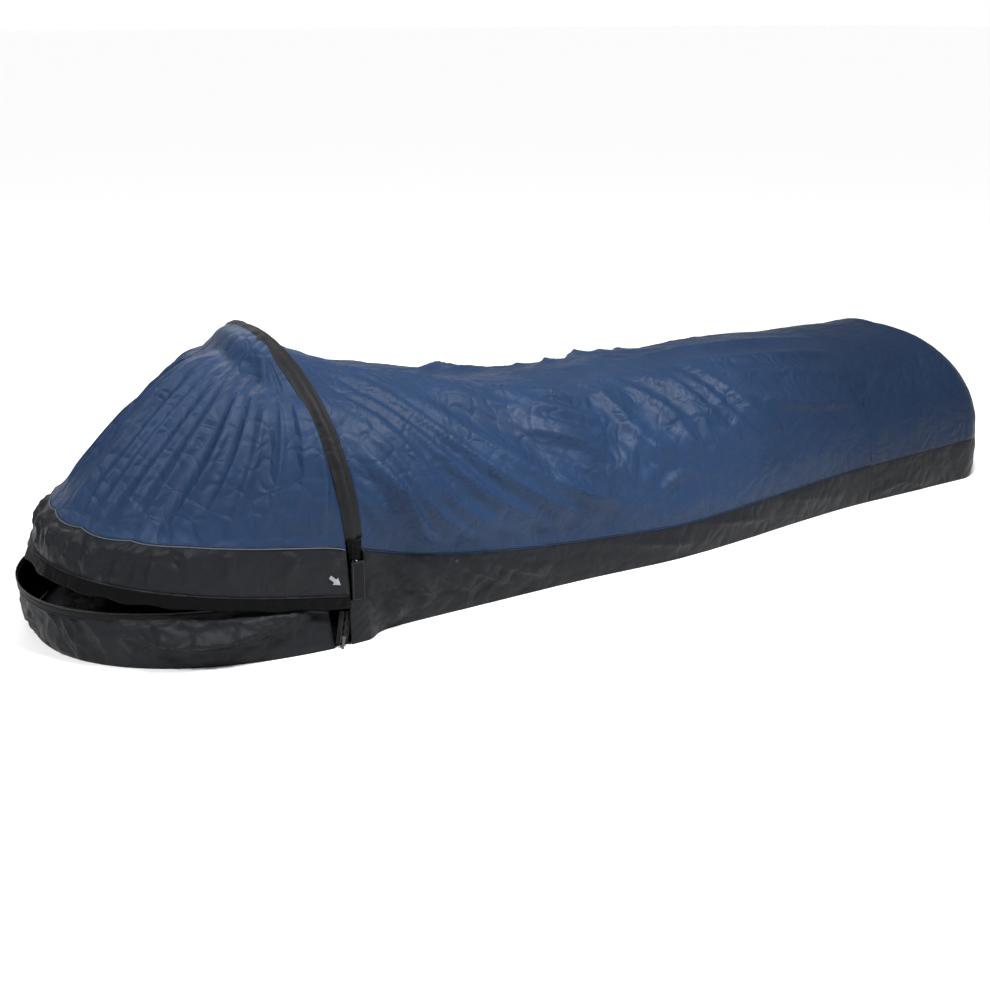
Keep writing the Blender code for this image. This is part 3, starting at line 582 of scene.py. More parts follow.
def woven_tape(name, colour, rough=0.75, rib=0.0012):
    """Ribbed webbing or zipper tape."""
    material, tree, shader = new_material(name)
    where = add_node(tree, "ShaderNodeTexCoord")
    ribs = add_node(tree, "ShaderNodeTexWave", {"Vector": where.outputs["Object"], "Scale": 0.314 / rib,
                                                "Distortion": 1.5, "Detail Scale": 2.0},
                    wave_type="BANDS", bands_direction="DIAGONAL")
    fuzz = add_node(tree, "ShaderNodeTexNoise", {"Vector": where.outputs["Object"], "Scale": 700.0,
                                                 "Detail": 4.0})
    light = tuple(min(1.0, c * 1.7 + 0.006) for c in colour)
    blend = add_node(tree, "ShaderNodeMath", {0: ribs.outputs["Fac"], 1: fuzz.outputs["Fac"]},
                     operation="MULTIPLY")
    tree.links.new(ramp_between(tree, blend.outputs[0], colour, light), shader.inputs["Base Color"])
    spread = add_node(tree, "ShaderNodeMapRange", {"Value": fuzz.outputs["Fac"], "To Min": rough - 0.1,
                                                   "To Max": rough + 0.12})
    tree.links.new(spread.outputs[0], shader.inputs["Roughness"])
    bump = add_node(tree, "ShaderNodeBump", {"Height": blend.outputs[0], "Strength": 0.5,
                                             "Distance": 0.0004})
    tree.links.new(bump.outputs[0], shader.inputs["Normal"])
    shader.inputs["Sheen Weight"].default_value = 0.04
    shader.inputs["Specular IOR Level"].default_value = 0.15
    return material


# ---------------------------------------------------------------- what a user may change
class SackLook(bpy.types.PropertyGroup):
    """Colours and cloth settings of the sack."""
    shell_blue: bpy.props.FloatVectorProperty(
        name="Shell blue", description="Coated cloth of the top and the hood", subtype="COLOR",
        size=3, min=0, max=1, default=(0.0122, 0.0290, 0.0700))
    shell_charcoal: bpy.props.FloatVectorProperty(
        name="Shell charcoal", description="Coated cloth of the walls, the lip and the hood band",
        subtype="COLOR", size=3, min=0, max=1, default=(0.0105, 0.0113, 0.0135))
    trim_black: bpy.props.FloatVectorProperty(
        name="Trim black", description="Storm flap, tabs and tape", subtype="COLOR", size=3,
        min=0, max=1, default=(0.0020, 0.0021, 0.0025))
    sleeve_grey: bpy.props.FloatVectorProperty(
        name="Sleeve grey", description="Cloth of the pole sleeve", subtype="COLOR", size=3,
        min=0, max=1, default=(0.011, 0.0113, 0.0128))
    # the thread colour of the stitches, also put on the canopy welt, where its lighter tone paints a
    # highlight
    thread_and_highlight_grey: bpy.props.FloatVectorProperty(
        name="Thread grey", description="Piping and stitches", subtype="COLOR", size=3,
        min=0, max=1, default=(0.060, 0.070, 0.085))
    fold_depth: bpy.props.FloatProperty(
        name="Fold depth", description="How deep the long folds are, as a share", default=2.1,
        min=0.0, max=4.0, subtype="FACTOR")
    crumple_depth: bpy.props.FloatProperty(
        name="Crumple depth", description="Height of the crumples in slack cloth", default=0.0055,
        min=0.0, max=0.02, unit="LENGTH", subtype="DISTANCE")
    cloth_gauge: bpy.props.FloatProperty(
        name="Cloth gauge", description="Thickness of the coated cloth with its lining film",
        default=0.0009, min=0.0003, max=0.003, unit="LENGTH", subtype="DISTANCE")
    stitch_pitch: bpy.props.FloatProperty(
        name="Stitch pitch", description="From one stitch to the next", default=0.0032,
        min=0.001, max=0.01, unit="LENGTH", subtype="DISTANCE")


def look():
    return bpy.context.scene.sack_look


FINISHES = {}


def finish(name):
    """The material of that finish, made once."""
    if name not in FINISHES:
        chosen = look()
        makers = {
            # the blue shell gets painted shade, darkening from x 0.15 to 0.85 towards the foot
            "shell_blue": lambda: coated_nylon(name, chosen.shell_blue, painted_foot_shade=(0.15, 0.85, 0.55)),
            "shell_charcoal": lambda: coated_nylon(name, chosen.shell_charcoal, rough=(0.38, 0.52),
                                                   gloss_level=0.10),
            "flap_black": lambda: coated_nylon(name, chosen.trim_black, rough=(0.5, 0.7), gloss_level=0.06),
            "trim_black": lambda: woven_tape(name, chosen.trim_black),
            "sleeve_grey": lambda: coated_nylon(name, chosen.sleeve_grey, rough=(0.55, 0.7), crinkle=0.6),
            "thread": lambda: woven_tape(name, chosen.thread_and_highlight_grey, rib=0.0008),
            "pole_alloy": lambda: drawn_metal(name, (0.42, 0.43, 0.45)),
            "ferrule_alloy": lambda: drawn_metal(name, (0.65, 0.66, 0.68), 0.24),
            "zip_coil": lambda: moulded(name, (0.012, 0.012, 0.013), 0.35),
            "slider_metal": lambda: drawn_metal(name, (0.06, 0.06, 0.065), 0.3),
            "moulded_black": lambda: moulded(name, (0.014, 0.014, 0.015)),
            "net_black": lambda: woven_tape(name, (0.012, 0.012, 0.013), 0.85, 0.0018),
            "arrow_white": lambda: moulded(name, (0.17, 0.175, 0.19), 0.6, 500.0),
            "cord_grey": lambda: woven_tape(name, (0.20, 0.20, 0.21), 0.7, 0.0016),
        }
        FINISHES[name] = makers[name]()
    return FINISHES[name]


# ---------------------------------------------------------------- folds of each panel
def fan(count, first, last, dip, height, wide, steep, seed, wander=0.012):
    """A fan of folds side by side, each a little different: [(route, height, width, steepness)].

    `first` and `last` are the (start, end) of the outermost two, and `dip` is how far the middle of
    a fold hangs below the straight line between its ends.  Spots are (station, share) on the top
    and walls, and (turn, height) on the hood and lip; a share or a turn runs from 0 at the right
    seam to 1 at the left.
    """
    vary = np.random.default_rng(seed)
    folds = []
    for k in range(count):
        t = k / max(count - 1, 1)
        start = mix(np.array(first[0]), np.array(last[0]), t)
        end = mix(np.array(first[1]), np.array(last[1]), t)
        middle = mix(start, end, 0.5) - np.array([0.0, dip]) + vary.normal(0, wander, 2)
        folds.append(([start, middle, end], height * vary.uniform(0.75, 1.2),
                      wide * vary.uniform(0.8, 1.2), steep))
    return folds


HOOP_PULLS = fan(6, ((0.54, 0.45), (1.10, 0.04)), ((0.53, 0.22), (0.70, 0.02)), 0.06,
                 0.013, 0.042, 0.25, 1)
FOOT_PULLS = fan(4, ((0.53, 0.18), (0.66, 0.02)), ((0.52, 0.10), (0.58, 0.02)), 0.0,
                 0.007, 0.018, 0.45, 2, 0.006)
BACK_FOLDS = fan(3, ((0.56, 0.47), (1.20, 0.35)), ((0.58, 0.40), (1.05, 0.20)), 0.02,
                 0.010, 0.048, 0.45, 3)
WAIST_CREASES = fan(6, ((0.86, 0.42), (1.08, 0.32)), ((0.92, 0.16), (1.06, 0.08)), 0.0,
                    0.007, 0.022, 0.40, 4, 0.020)
HIP_CREASES = fan(6, ((1.10, 0.44), (1.22, 0.14)), ((1.36, 0.44), (1.50, 0.14)), 0.02,
                  0.008, 0.028, 0.35, 5, 0.020)
LEG_FOLDS = fan(4, ((1.34, 0.50), (1.78, 0.44)), ((1.42, 0.28), (1.76, 0.18)), 0.01,
                0.008, 0.038, 0.32, 6)
TOP_FOLDS = HOOP_PULLS + FOOT_PULLS + BACK_FOLDS + WAIST_CREASES + HIP_CREASES + LEG_FOLDS
CANOPY_FOLDS = fan(11, ((0.03, 0.215), (0.01, 0.42)), ((0.47, 0.235), (0.49, 0.46)), 0.0,
                   0.010, 0.021, 0.50, 7, 0.008)
BAND_FOLDS = fan(9, ((0.03, 0.20), (0.03, 0.13)), ((0.46, 0.215), (0.46, 0.165)), 0.0,
                 0.004, 0.011, 0.60, 8, 0.008)
RIM_SLUMP = fan(1, ((0.28, 0.70), (0.05, 0.85)), ((0.28, 0.70), (0.05, 0.85)), 0.35,
                0.012, 0.030, 0.18, 9, 0.0)
RIM_CREASES = fan(7, ((0.07, 0.92), (0.09, 0.50)), ((0.38, 0.92), (0.35, 0.25)), 0.0,
                  0.005, 0.013, 0.50, 10, 0.008)
LIP_FOLDS = RIM_SLUMP + RIM_CREASES
WALL_FOLDS = (fan(4, ((0.55, 0.95), (0.66, 0.35)), ((0.74, 0.92), (0.90, 0.35)), 0.0,
                  0.006, 0.016, 0.35, 11, 0.010)
              + fan(3, ((0.54, 0.65), (0.60, 0.12)), ((0.56, 0.30), (0.58, 0.06)), 0.0,
                    0.004, 0.009, 0.60, 12, 0.004)
              + fan(3, ((1.05, 0.85), (1.25, 0.35)), ((1.50, 0.80), (1.70, 0.40)), 0.0,
                    0.003, 0.018, 0.60, 13))


def both_sides(folds, surface_route, points, normals, seed):
    """The folds of the right side, and a varied set of them on the left."""
    depth = look().fold_depth
    total = np.zeros(len(points))
    mirror = np.array([1.0, -1.0, 1.0])
    vary = np.random.default_rng(seed)
    for route, height, wide, steep in folds:
        line = surface_route(curve_through(route))
        total += fold_height(points, normals, line, height, wide, steep)
        shift = vary.uniform(-0.5, 0.5, 2) * (0.05, 0.03)
        other = [(a + shift[0] * 0.6, b + shift[1] * 0.5) for a, b in route]
        line = surface_route(curve_through(other))
        scale = vary.uniform(0.7, 1.15)
        total += fold_height(points * mirror, normals * mirror, line, height * scale, wide, steep)
    return total * depth


def near_edges(u, v, run_u, run_v, sides="abcd"):
    """1 in the middle of a sheet, falling to 0 at the chosen edges: a, b along u and c, d along v."""
    hold = np.ones_like(u)
    for side, spot in (("a", u / run_u), ("b", (1 - u) / run_u), ("c", v / run_v), ("d", (1 - v) / run_v)):
        if side in sides:
            hold = hold * smooth(spot)
    return hold


# ---------------------------------------------------------------- cloth of the body
TOP_START = POLE_STATION + SLEEVE_HALF_WIDTH * 0.55


def top_at(station, share):
    return top_rib(station, top_half_width(station), math.pi * share)


def top_route(spots):
    return top_at(spots[:, 0], spots[:, 1])


def slack(station, share):
    """How loose the top is: most at the sleeper's waist and hips, least by the hoop and the toe."""
    waist = np.exp(-((station - 1.17) / 0.24) ** 2)
    flank = 1 - 0.55 * np.exp(-((share - 0.5) / 0.12) ** 2)
    return 0.22 + 0.9 * waist * flank


def top_crumple(station, share, seed):
    """Streaks that run from the hoop down towards the feet, turning to open crumples at the hips."""
    b = np.minimum(share, 1 - share) * TOP_GIRTH
    side = np.where(share < 0.5, 0.0, 9.0)
    along, over = station * 0.77 - b * 0.64, station * 0.64 + b * 0.77
    streak = cloud(along * 4.5 + side, over * 22, seed) + 0.5 * cloud(along * 9 + side, over * 45, seed + 3)
    taut = 1 - smooth((station - 0.85) / 0.35)
    crush = crumple(station + side, b, 0.085, seed + 9)
    return 0.8 * streak * taut + crush * slack(station, share) * (1 - 0.6 * taut)


TOE_HALF = float(top_half_width(np.array(TOE_SEAM)))
BODY_RUN = TOE_SEAM - TOP_START
TOE_RUN = LENGTH - FOOT_CORNER - TOE_SEAM + FOOT_CORNER * math.pi / 2 + TOE_HALF - FOOT_CORNER
TOP_RUN = BODY_RUN + TOE_RUN


def whole_top_at(run, share):
    """The blue top by the length along its edge: straight ribs first, then the fan over the toe."""
    station = np.minimum(TOP_START + run, TOE_SEAM)
    toe_station, toe_half = toe_outline(np.clip((run - BODY_RUN) / TOE_RUN, 0.0, 1.0), TOE_HALF)
    behind = run > BODY_RUN
    station = np.where(behind, toe_station, station)
    half = np.where(behind, toe_half, top_half_width(station))
    return top_rib(station, half, math.pi * share)


def make_top_panel():
    def surface(u, v):
        return whole_top_at(u * TOP_RUN, v)

    def relief(u, v, points, normals):
        station = TOP_START + u * TOP_RUN
        folds = both_sides(TOP_FOLDS, top_route, points, normals, 11)
        small = look().crumple_depth * top_crumple(station, v, 21)
        drape = 0.0030 * cloud(points[:, 0] * 5, points[:, 1] * 7, 31) * smooth((station - 1.70) / 0.2)
        gather = 1 - smooth((u - 0.96) / 0.04)
        taut_ridge = 1 - 0.9 * np.exp(-((v - 0.56) / 0.10) ** 2)
        return (folds * taut_ridge * near_edges(u, v, 0.008, 0.030, "acd")
                + (small + drape) * near_edges(u, v, 0.012, 0.035)) * gather

    top = lay_sheet("sack_top", surface, (262, 140), (TOP_RUN, TOP_GIRTH), relief, look().cloth_gauge,
                    finish("shell_blue"))
    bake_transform(top)
    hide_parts("shoulder_panel", "body_top_panel", "toe_top_panel")


def make_side_walls():
    for name, side in (("right", -1), ("left", 1)):
        def surface(u, v, side=side):
            return wall_point(mix(WALL_START, TOE_SEAM, u), v, side)

        def relief(u, v, points, normals, side=side):
            station = mix(WALL_START, TOE_SEAM, u)
            mirror = np.array([1.0, -side, 1.0])
            shift = np.array([0.02 if side > 0 else 0.0, 0.0])
            total = np.zeros(len(points))
            for spots, height, wide, steep in WALL_FOLDS:
                curve = curve_through(np.array(spots) + shift)
                line = wall_point(curve[:, 0], curve[:, 1], -1)
                total += fold_height(points * mirror, normals * mirror, line, height, wide, steep)
            near_hoop = 1 - smooth((station - 0.62) / 0.4)
            tall = seam_height(station) * v
            crush = crumple(station + side, tall, 0.055, 61 + side)
            small = (0.0012 + 0.0026 * near_hoop) * crush
            return (total * look().fold_depth + small) * near_edges(u, v, 0.004, 0.14, "cd")

        wall = lay_sheet(f"sack_wall_{name}", surface, (230, 26), (TOE_SEAM - WALL_START, 0.12), relief,
                         look().cloth_gauge, finish("shell_charcoal"))
        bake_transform(wall)
        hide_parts(f"shoulder_wall_{name}", f"side_wall_{name}")


def make_foot_wall():
    half = float(top_half_width(np.array(TOE_SEAM)))

    def surface(u, v):
        side = np.where(u < 0.5, -1.0, 1.0)
        station, y = toe_outline(1 - np.abs(1 - 2 * u), half)
        bulge = 0.003 * np.sin(math.pi * v)
        return place(station, side * (y + bulge), seam_height(station) * v)

    def relief(u, v, points, normals):
        crush = 0.0022 * crumple(u * 1.25, points[:, 2], 0.06, 71)
        low_tuck = place(np.array([1.80, 1.88, 1.96]), np.full(3, -half), np.array([0.015, 0.03, 0.012]))
        tuck = fold_height(points, normals, curve_through(low_tuck, 8), 0.006, 0.012)
        return (crush + tuck) * near_edges(u, v, 0.01, 0.16)

    wall = lay_sheet("foot_wall_cloth", surface, (220, 20), (1.25, 0.095), relief, look().cloth_gauge,
                     finish("shell_charcoal"))
    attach(wall, "bag")
    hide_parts("foot_wall")


def make_head_lip():
    def surface(u, v):
        return lip_point(mix(LIP_START, math.pi - LIP_START, v), u)

    def route(spots):
        return lip_point(math.pi * spots[:, 0], spots[:, 1])

    def relief(u, v, points, normals):
        folds = both_sides(LIP_FOLDS, route, points, normals, 41)
        turn = v * 1.42
        crush = 0.0042 * crumple(turn, u * 0.1, 0.05, 45) + 0.003 * cloud(turn * 9, u * 2.2, 47)
        slump = 0.024 * u * (1 - u) ** 2 * smooth((v - 0.02) / 0.12) * smooth((0.98 - v) / 0.12)
        return (folds + crush) * near_edges(u, v, 0.16, 0.02) + slump

    lip = lay_sheet("lip_cloth", surface, (30, 230), (0.098, 1.42), relief, look().cloth_gauge,
                    finish("shell_charcoal"))
    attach(lip, "bag")
    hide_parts("head_lip")


def make_gussets():
    """Dark panel outside each foot of the pole, from the zipper slit back to the wall."""
    for name, side in (("right", -1), ("left", 1)):
        def surface(u, v, side=side):
            station = mix(RISER_HEAD[0] + 0.006, 0.552, u) - 0.001 * (1 - v) * (1 - u)
            share = (TAB_FOOT + 0.002) * v / seam_height(station)
            wall = wall_point(np.maximum(station, WALL_START), share, 1.0)[..., 1] + 0.0012
            top = mix(1.0, 0.35, smooth((u - 0.45) / 0.55))
            merge = smooth((u - 0.25) / 0.6)
            tucked = wall - 0.0025 * smooth((u - 0.7) / 0.3)
            half = mix(np.maximum(HEAD_HALF_WIDTH - 0.004 * v, wall), tucked, merge)
            return place(station, side * half, 0.001 + (TAB_FOOT + 0.002) * v * top)

        def relief(u, v, points, normals):
            crush = 0.0018 * crumple(points[:, 0], points[:, 2], 0.03, 83)
            return crush * near_edges(u, v, 0.15, 0.12)

        panel = lay_sheet(f"foot_gusset_{name}", surface, (22, 26), (0.075, 0.08), relief,
                          look().cloth_gauge, finish("shell_charcoal"))
        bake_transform(panel)
        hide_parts(f"pole_gusset_{name}")


def make_floor_cloth():
    """One waterproof sheet under the sleeper, sewn to the foot of every wall."""
    def surface(u, v):
        close_at_ends = u - 0.85 * np.sin(2 * math.pi * u) / (2 * math.pi)
        station = mix(0.024, LENGTH - 0.006, close_at_ends)
        forward = np.clip((POLE_STATION - station) / (LIP_DEPTH - 0.005), 0, 1)
        head = (HEAD_HALF_WIDTH - 0.005) * (1 - forward ** PLAN_ROUNDNESS) ** (1 / PLAN_ROUNDNESS)
        body = ground_half_width(station) - 0.005
        past = np.clip((station - (LENGTH - FOOT_CORNER)) / FOOT_CORNER, 0, 1)
        corner = FOOT_CORNER * (1 - np.sqrt(np.maximum(0, 1 - past ** 2)))
        half = np.where(station < POLE_STATION, head, body - corner)
        return place(station, mix(-half, half, v), FLOOR_THICK)

    def relief(u, v, points, normals):
        ripple = 0.0016 * crumple(points[:, 0], points[:, 1], 0.13, 91)
        return np.minimum(ripple - 0.0016, -0.0011) * near_edges(u, v, 0.02, 0.06)

    floor = lay_sheet("floor_cloth", surface, (150, 44), (2.12, 0.64), relief, look().cloth_gauge,
                      finish("shell_charcoal"))
    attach(floor, "bag")
    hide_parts("floor_panel")


# ---------------------------------------------------------------- cloth of the hood
def canopy_route(spots):
    return hood_point(math.pi * spots[:, 0], spots[:, 1])


def make_canopy():
    top = ARCH_HEIGHT - 0.006

    def surface(u, v):
        angle = math.pi * v
        points = hood_point(angle, mix(hood_seam_height(angle), top, u))
        share = np.clip(np.abs(points[..., 1]) / ARCH_SEAM_HALF, 0, 1)
        arch = mix(SEAM_AT_POLE, ARCH_HEIGHT, (1 - share ** TOP_ROUNDNESS) ** (1 / TOP_ROUNDNESS))
        points[..., 2] += (arch + 0.003 - points[..., 2]) * smooth((u - 0.88) / 0.12)
        points[..., 0] += 0.010 * smooth((u - 0.92) / 0.08)
        return points

    def relief(u, v, points, normals):
        folds = both_sides(CANOPY_FOLDS, canopy_route, points, normals, 101)
        angle = math.pi * v
        streak = 0.0022 * cloud(v * 34, u * 2.0, 103) + 0.0012 * cloud(v * 70, u * 3.0, 107)
        hold = near_edges(u, v, 0.24, 0.02, "b") * smooth((u + 0.06) / 0.16)
        edge = smooth(v / 0.006) * smooth((1 - v) / 0.006)
        return (folds + streak * smooth(np.sin(angle) / 0.15)) * hold * edge

    canopy = lay_sheet("hood_canopy_cloth", surface, (64, 230), (0.42, 1.35), relief, look().cloth_gauge,
                       finish("shell_blue"))
    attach(canopy, "hood")
    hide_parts("hood_canopy")


def make_band():
    def surface(u, v):
        angle = math.pi * v
        return hood_point(angle, mix(hem_height(angle), hood_seam_height(angle), u))

    def relief(u, v, points, normals):
        folds = both_sides(BAND_FOLDS, canopy_route, points, normals, 111)
        front = smooth((np.sin(math.pi * v) - 0.35) / 0.5)
        turn = v * 1.38
        crush = (0.0014 + 0.0026 * front) * crumple(turn, points[:, 2], 0.045, 113)
        low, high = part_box("exit_arrow")
        away = np.linalg.norm(points - np.array((low + high) / 2), axis=1)
        return (folds + crush) * near_edges(u, v, 0.22, 0.01) * smooth((away - 0.015) / 0.03)

    band = lay_sheet("hood_band_cloth", surface, (26, 230), (0.085, 1.38), relief, look().cloth_gauge,
                     finish("shell_charcoal"))
    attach(band, "hood")
    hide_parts("hood_band")


def make_storm_flap():
    """Strip that hangs over the zipper from the hem of the band."""
    def surface(u, v):
        angle = math.pi * v
        sway = 0.0025 * np.sin(angle * 23 + 1.0) * np.sin(angle)
        low = -FLAP_HEIGHT - 0.0015 * np.sin(angle * 31)
        z = hem_height(angle) + mix(low, 0.0, u)
        return hood_point(angle, z, -0.0012 - (0.001 + sway) * (1 - u))

    flap = lay_sheet("flap_cloth", surface, (8, 200), (0.022, 1.38), None, 0.0012, finish("flap_black"))
    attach(flap, "hood")
    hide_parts("storm_flap")


def along_hem(count, lift, inset):
    angle = np.linspace(0.006, math.pi - 0.006, count)
    return hood_point(angle, hem_height(angle) + lift, inset)


def make_hood_piping():
    """Welt on the seam between band and canopy, whose lighter thread colour paints the highlight of the
    fabric edge, and the turned edge of the band's hem.
    """
    angle = np.linspace(0.004, math.pi - 0.004, 420)
    # the piping is real, but its lighter thread colour is a painted highlight along the edge of this seam
    welt = tube_piece("canopy_welt_painted_highlight", hood_point(angle, hood_seam_height(angle), -0.0006), 0.0011,
                      finish("thread"), 1)
    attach(welt, "hood")
    hem = tube_piece("band_hem", along_hem(420, 0.0006, -0.0008), 0.0014, finish("shell_charcoal"), 1)
    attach(hem, "hood")


def sleeve_surface(first, last, bulge, flange):
    """Round the pole: v is 0 at the front seam, over the outside to the rear seam, and back inside."""
    def surface(u, v):
        point, across, out = arch_frame(mix(first, last, u))
        turn = 2 * math.pi * v
        wide = np.cos(turn)
        sign = np.where(np.sin(turn) >= 0, 1.0, -0.55)
        peak = np.exp(-(np.abs(wide) / 0.46) ** 2.2)
        lift = sign * (bulge * peak + 0.0012 * np.sqrt(np.maximum(0, 1 - wide ** 2)))
        return point + across * (flange * wide)[..., None] + out * lift[..., None]
    return surface


def make_sleeve():
    first = run_at_height(0.186)
    length = ARCH_LENGTH - 2 * first
    base = sleeve_surface(first, first + length, 0.0072, SLEEVE_HALF_WIDTH + 0.001)

    def relief(u, v, points, normals):
        turn = np.cos(2 * math.pi * v)
        pucker = (0.0007 * cloud(u * 90, turn * 2.0, 121)
                  + 0.0006 * crumple(u * length, turn * 0.02, 0.03, 123))
        return pucker

    sleeve = lay_sheet("sleeve_cloth", base, (260, 28), (length, 0.07), relief, 0.0006,
                       finish("sleeve_grey"))
    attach(sleeve, "hood")
    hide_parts("pole_sleeve")


def make_cuffs():
    """Gathered ends of the sleeve, drawn in round the pole."""
    low, high = run_at_height(0.150), run_at_height(0.186) + 0.004
    for name, mirror in (("right", 1.0), ("left", -1.0)):
        def surface(u, v, mirror=mirror):
            point, across, out = arch_frame(mix(low, high, u))
            turn = 2 * math.pi * v
            full = mix(0.0085, 0.0125, smooth(u)) + 0.0016 * np.sin(turn * 9 + 3 * u) * np.sin(math.pi * u)
            full = full + 0.0012 * np.sin(u * 19 + 2 * np.sin(turn * 2))
            spot = point + across * (full * 1.1 * np.cos(turn))[..., None]
            spot = spot + out * (full * 0.72 * np.sin(turn))[..., None]
            return spot * np.array([1.0, mirror, 1.0])
        cuff = lay_sheet(f"cuff_{name}", surface, (24, 72), (high - low, 0.07), None, 0.0008,
                         finish("flap_black"))
        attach(cuff, "hood")
        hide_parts(f"sleeve_cuff_{name}")


# ---------------------------------------------------------------- zipper
def strip_between(name, low, high, steps, cut, body, nodes, material, thickness=0.0007):
    """A narrow tape between two lines of points."""
    def surface(u, v):
        spot = v * (len(low) - 1)
        first = np.minimum(spot.astype(int), len(low) - 2)
        part = (spot - first)[:, None]
        near = mix(low[first], low[first + 1], part)
        far = mix(high[first], high[first + 1], part)
        return mix(near, far, u[:, None])
    tape = lay_sheet(name, surface, steps, cut, None, thickness, material)
    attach(tape, body)
    if nodes:
        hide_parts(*nodes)
    return tape


def tooth_shape():
    """One turn of the zipper's coil: a short flattened bar with round ends."""
    rings = [(-1.0, 0.45), (-0.8, 0.95), (0.8, 0.95), (1.0, 0.45)]
    sides = 6
    spots = [(x, r * math.cos(2 * math.pi * k / sides), r * math.sin(2 * math.pi * k / sides))
             for x, r in rings for k in range(sides)]
    faces = [tuple(range(sides))[::-1], tuple(range(3 * sides, 4 * sides))]
    for ring in range(3):
        for k in range(sides):
            a, b = ring * sides + k, ring * sides + (k + 1) % sides
            faces.append((a, b, b + sides, a + sides))
    return np.array(spots), faces


def row_of(name, centres, along, across, out, size, shape, body, nodes, material, lean_each=0.0):
    """One mesh of a small shape repeated along a line, each turned to follow it."""
    spots, faces = shape
    points, all_faces = [], []
    for i, (c, a, b, o) in enumerate(zip(centres, along, across, out)):
        tilt = lean_each * (1 if i % 2 else -1)
        base = len(points) * len(spots)
        points.append(c + spots[:, :1] * size[0] * (b + tilt * a) + spots[:, 1:2] * size[1] * a
                      + spots[:, 2:3] * size[2] * o)
        all_faces += [tuple(k + base for k in face) for face in faces]
    mesh = bpy.data.meshes.new(name)
    mesh.from_pydata(np.vstack(points).tolist(), [], all_faces)
    obj = bpy.data.objects.new(name, mesh)
    bpy.context.scene.collection.objects.link(obj)
    mesh.materials.append(material)
    select_only(obj)
    bpy.ops.object.mode_set(mode="EDIT")
    bpy.ops.mesh.select_all(action="SELECT")
    bpy.ops.mesh.normals_make_consistent(inside=False)
    bpy.ops.object.mode_set(mode="OBJECT")
    bpy.ops.object.shade_smooth_by_angle(angle=math.radians(55))
    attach(obj, body)
    if nodes:
        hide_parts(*nodes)
    return obj


def even_points(line, pitch):
    """Points along a line at an even pitch, with the direction of the line at each."""
    run = np.concatenate([[0.0], np.cumsum(np.linalg.norm(np.diff(line, axis=0), axis=1))])
    at = np.arange(pitch / 2, run[-1], pitch)
    spots = np.stack([np.interp(at, run, line[:, i]) for i in range(3)], -1)
    ahead = np.stack([np.interp(at + 0.001, run, line[:, i]) for i in range(3)], -1)
    behind = np.stack([np.interp(at - 0.001, run, line[:, i]) for i in range(3)], -1)
    return spots, unit(ahead - behind)


COIL_PITCH = 0.0022


def coil_along(name, line, up, body, nodes):
    centres, along = even_points(line, COIL_PITCH)
    across = unit(np.broadcast_to(up, centres.shape) - along * np.einsum("ij,j->i", along, up)[:, None])
    out = np.cross(along, across)
    return row_of(name, centres, along, across, out, (0.0019, 0.0006, 0.0011), tooth_shape(), body, nodes,
                  finish("zip_coil"), 0.18)


def make_rim_zipper():
    """The long zipper round the head: one half on the rim of the lip, one under the storm flap."""
    up = np.array([0.0, 0.0, 1.0])
    angle = np.linspace(LIP_START, math.pi - LIP_START, 420)
    low, high = lip_point(angle, np.array(0.90), 0.0016), lip_point(angle, np.array(1.03), 0.0016)
    strip_between("rim_tape", low, high, (3, 230), (0.012, 1.4), "bag", ["lower_zip_tape"],
                  finish("trim_black"))
    coil_along("rim_coil", lip_point(angle, np.array(1.055), 0.0008), up, "bag", ["lower_zip_coil"])
    binding = tube_piece("rim_binding", lip_point(angle, np.array(0.885), 0.0016), 0.0013,
                         finish("shell_charcoal"), 1)
    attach(binding, "bag")
    strip_between("hem_tape", along_hem(420, -0.014, 0.0045), along_hem(420, 0.004, 0.0045), (3, 230),
                  (0.018, 1.38), "hood", ["upper_zip_tape"], finish("trim_black"))
    coil_along("hem_coil", along_hem(420, -0.0160, 0.0055), up, "hood", ["upper_zip_coil"])


def riser_line(side):
    """Foot and head of the short upright zipper beside a pole end, with its directions."""
    foot = np.array(place(RISER_FOOT[0], side * RISER_FOOT[1], RISER_FOOT[2]))
    head = np.array(place(RISER_HEAD[0], side * RISER_HEAD[1], RISER_HEAD[2]))
    along = unit(head - foot)
    across = unit(np.array([1.0, 0, 0]) - along * along[0])
    out = np.cross(along, across)
    return foot, head, along, across, out * (1 if out[1] * side > 0 else -1)


def make_risers():
    for name, side in (("right", -1), ("left", 1)):
        foot, head, _, across, out = riser_line(side)
        t = np.linspace(0, 1, 40)[:, None]
        for half, shift in (("front", -1), ("rear", 1)):
            wave = 0.0009 * np.sin(t * 26 + shift) * np.sin(math.pi * t)
            line = mix(foot, head, t) + across * (shift * 0.003 + wave)
            centres, direction = even_points(line, COIL_PITCH)
            count = len(centres)
            row_of(f"riser_teeth_{half}_{name}", centres, direction, np.tile(across, (count, 1)),
                   np.tile(out, (count, 1)), (0.0016, 0.0006, 0.0011), tooth_shape(), "bag",
                   [f"riser_coil_{half}_{name}"], finish("zip_coil"), 0.15)
            near = mix(foot, head, t) + across * shift * 0.0043 + out * 0.0004
            far = mix(foot, head, t) + across * (shift * 0.0108) + out * (0.0004 + 0.9 * np.abs(wave))
            strip_between(f"riser_web_{half}_{name}", near, far, (4, 39), (0.0065, 0.057), "bag",
                          [f"riser_tape_{half}_{name}"], finish("trim_black"))


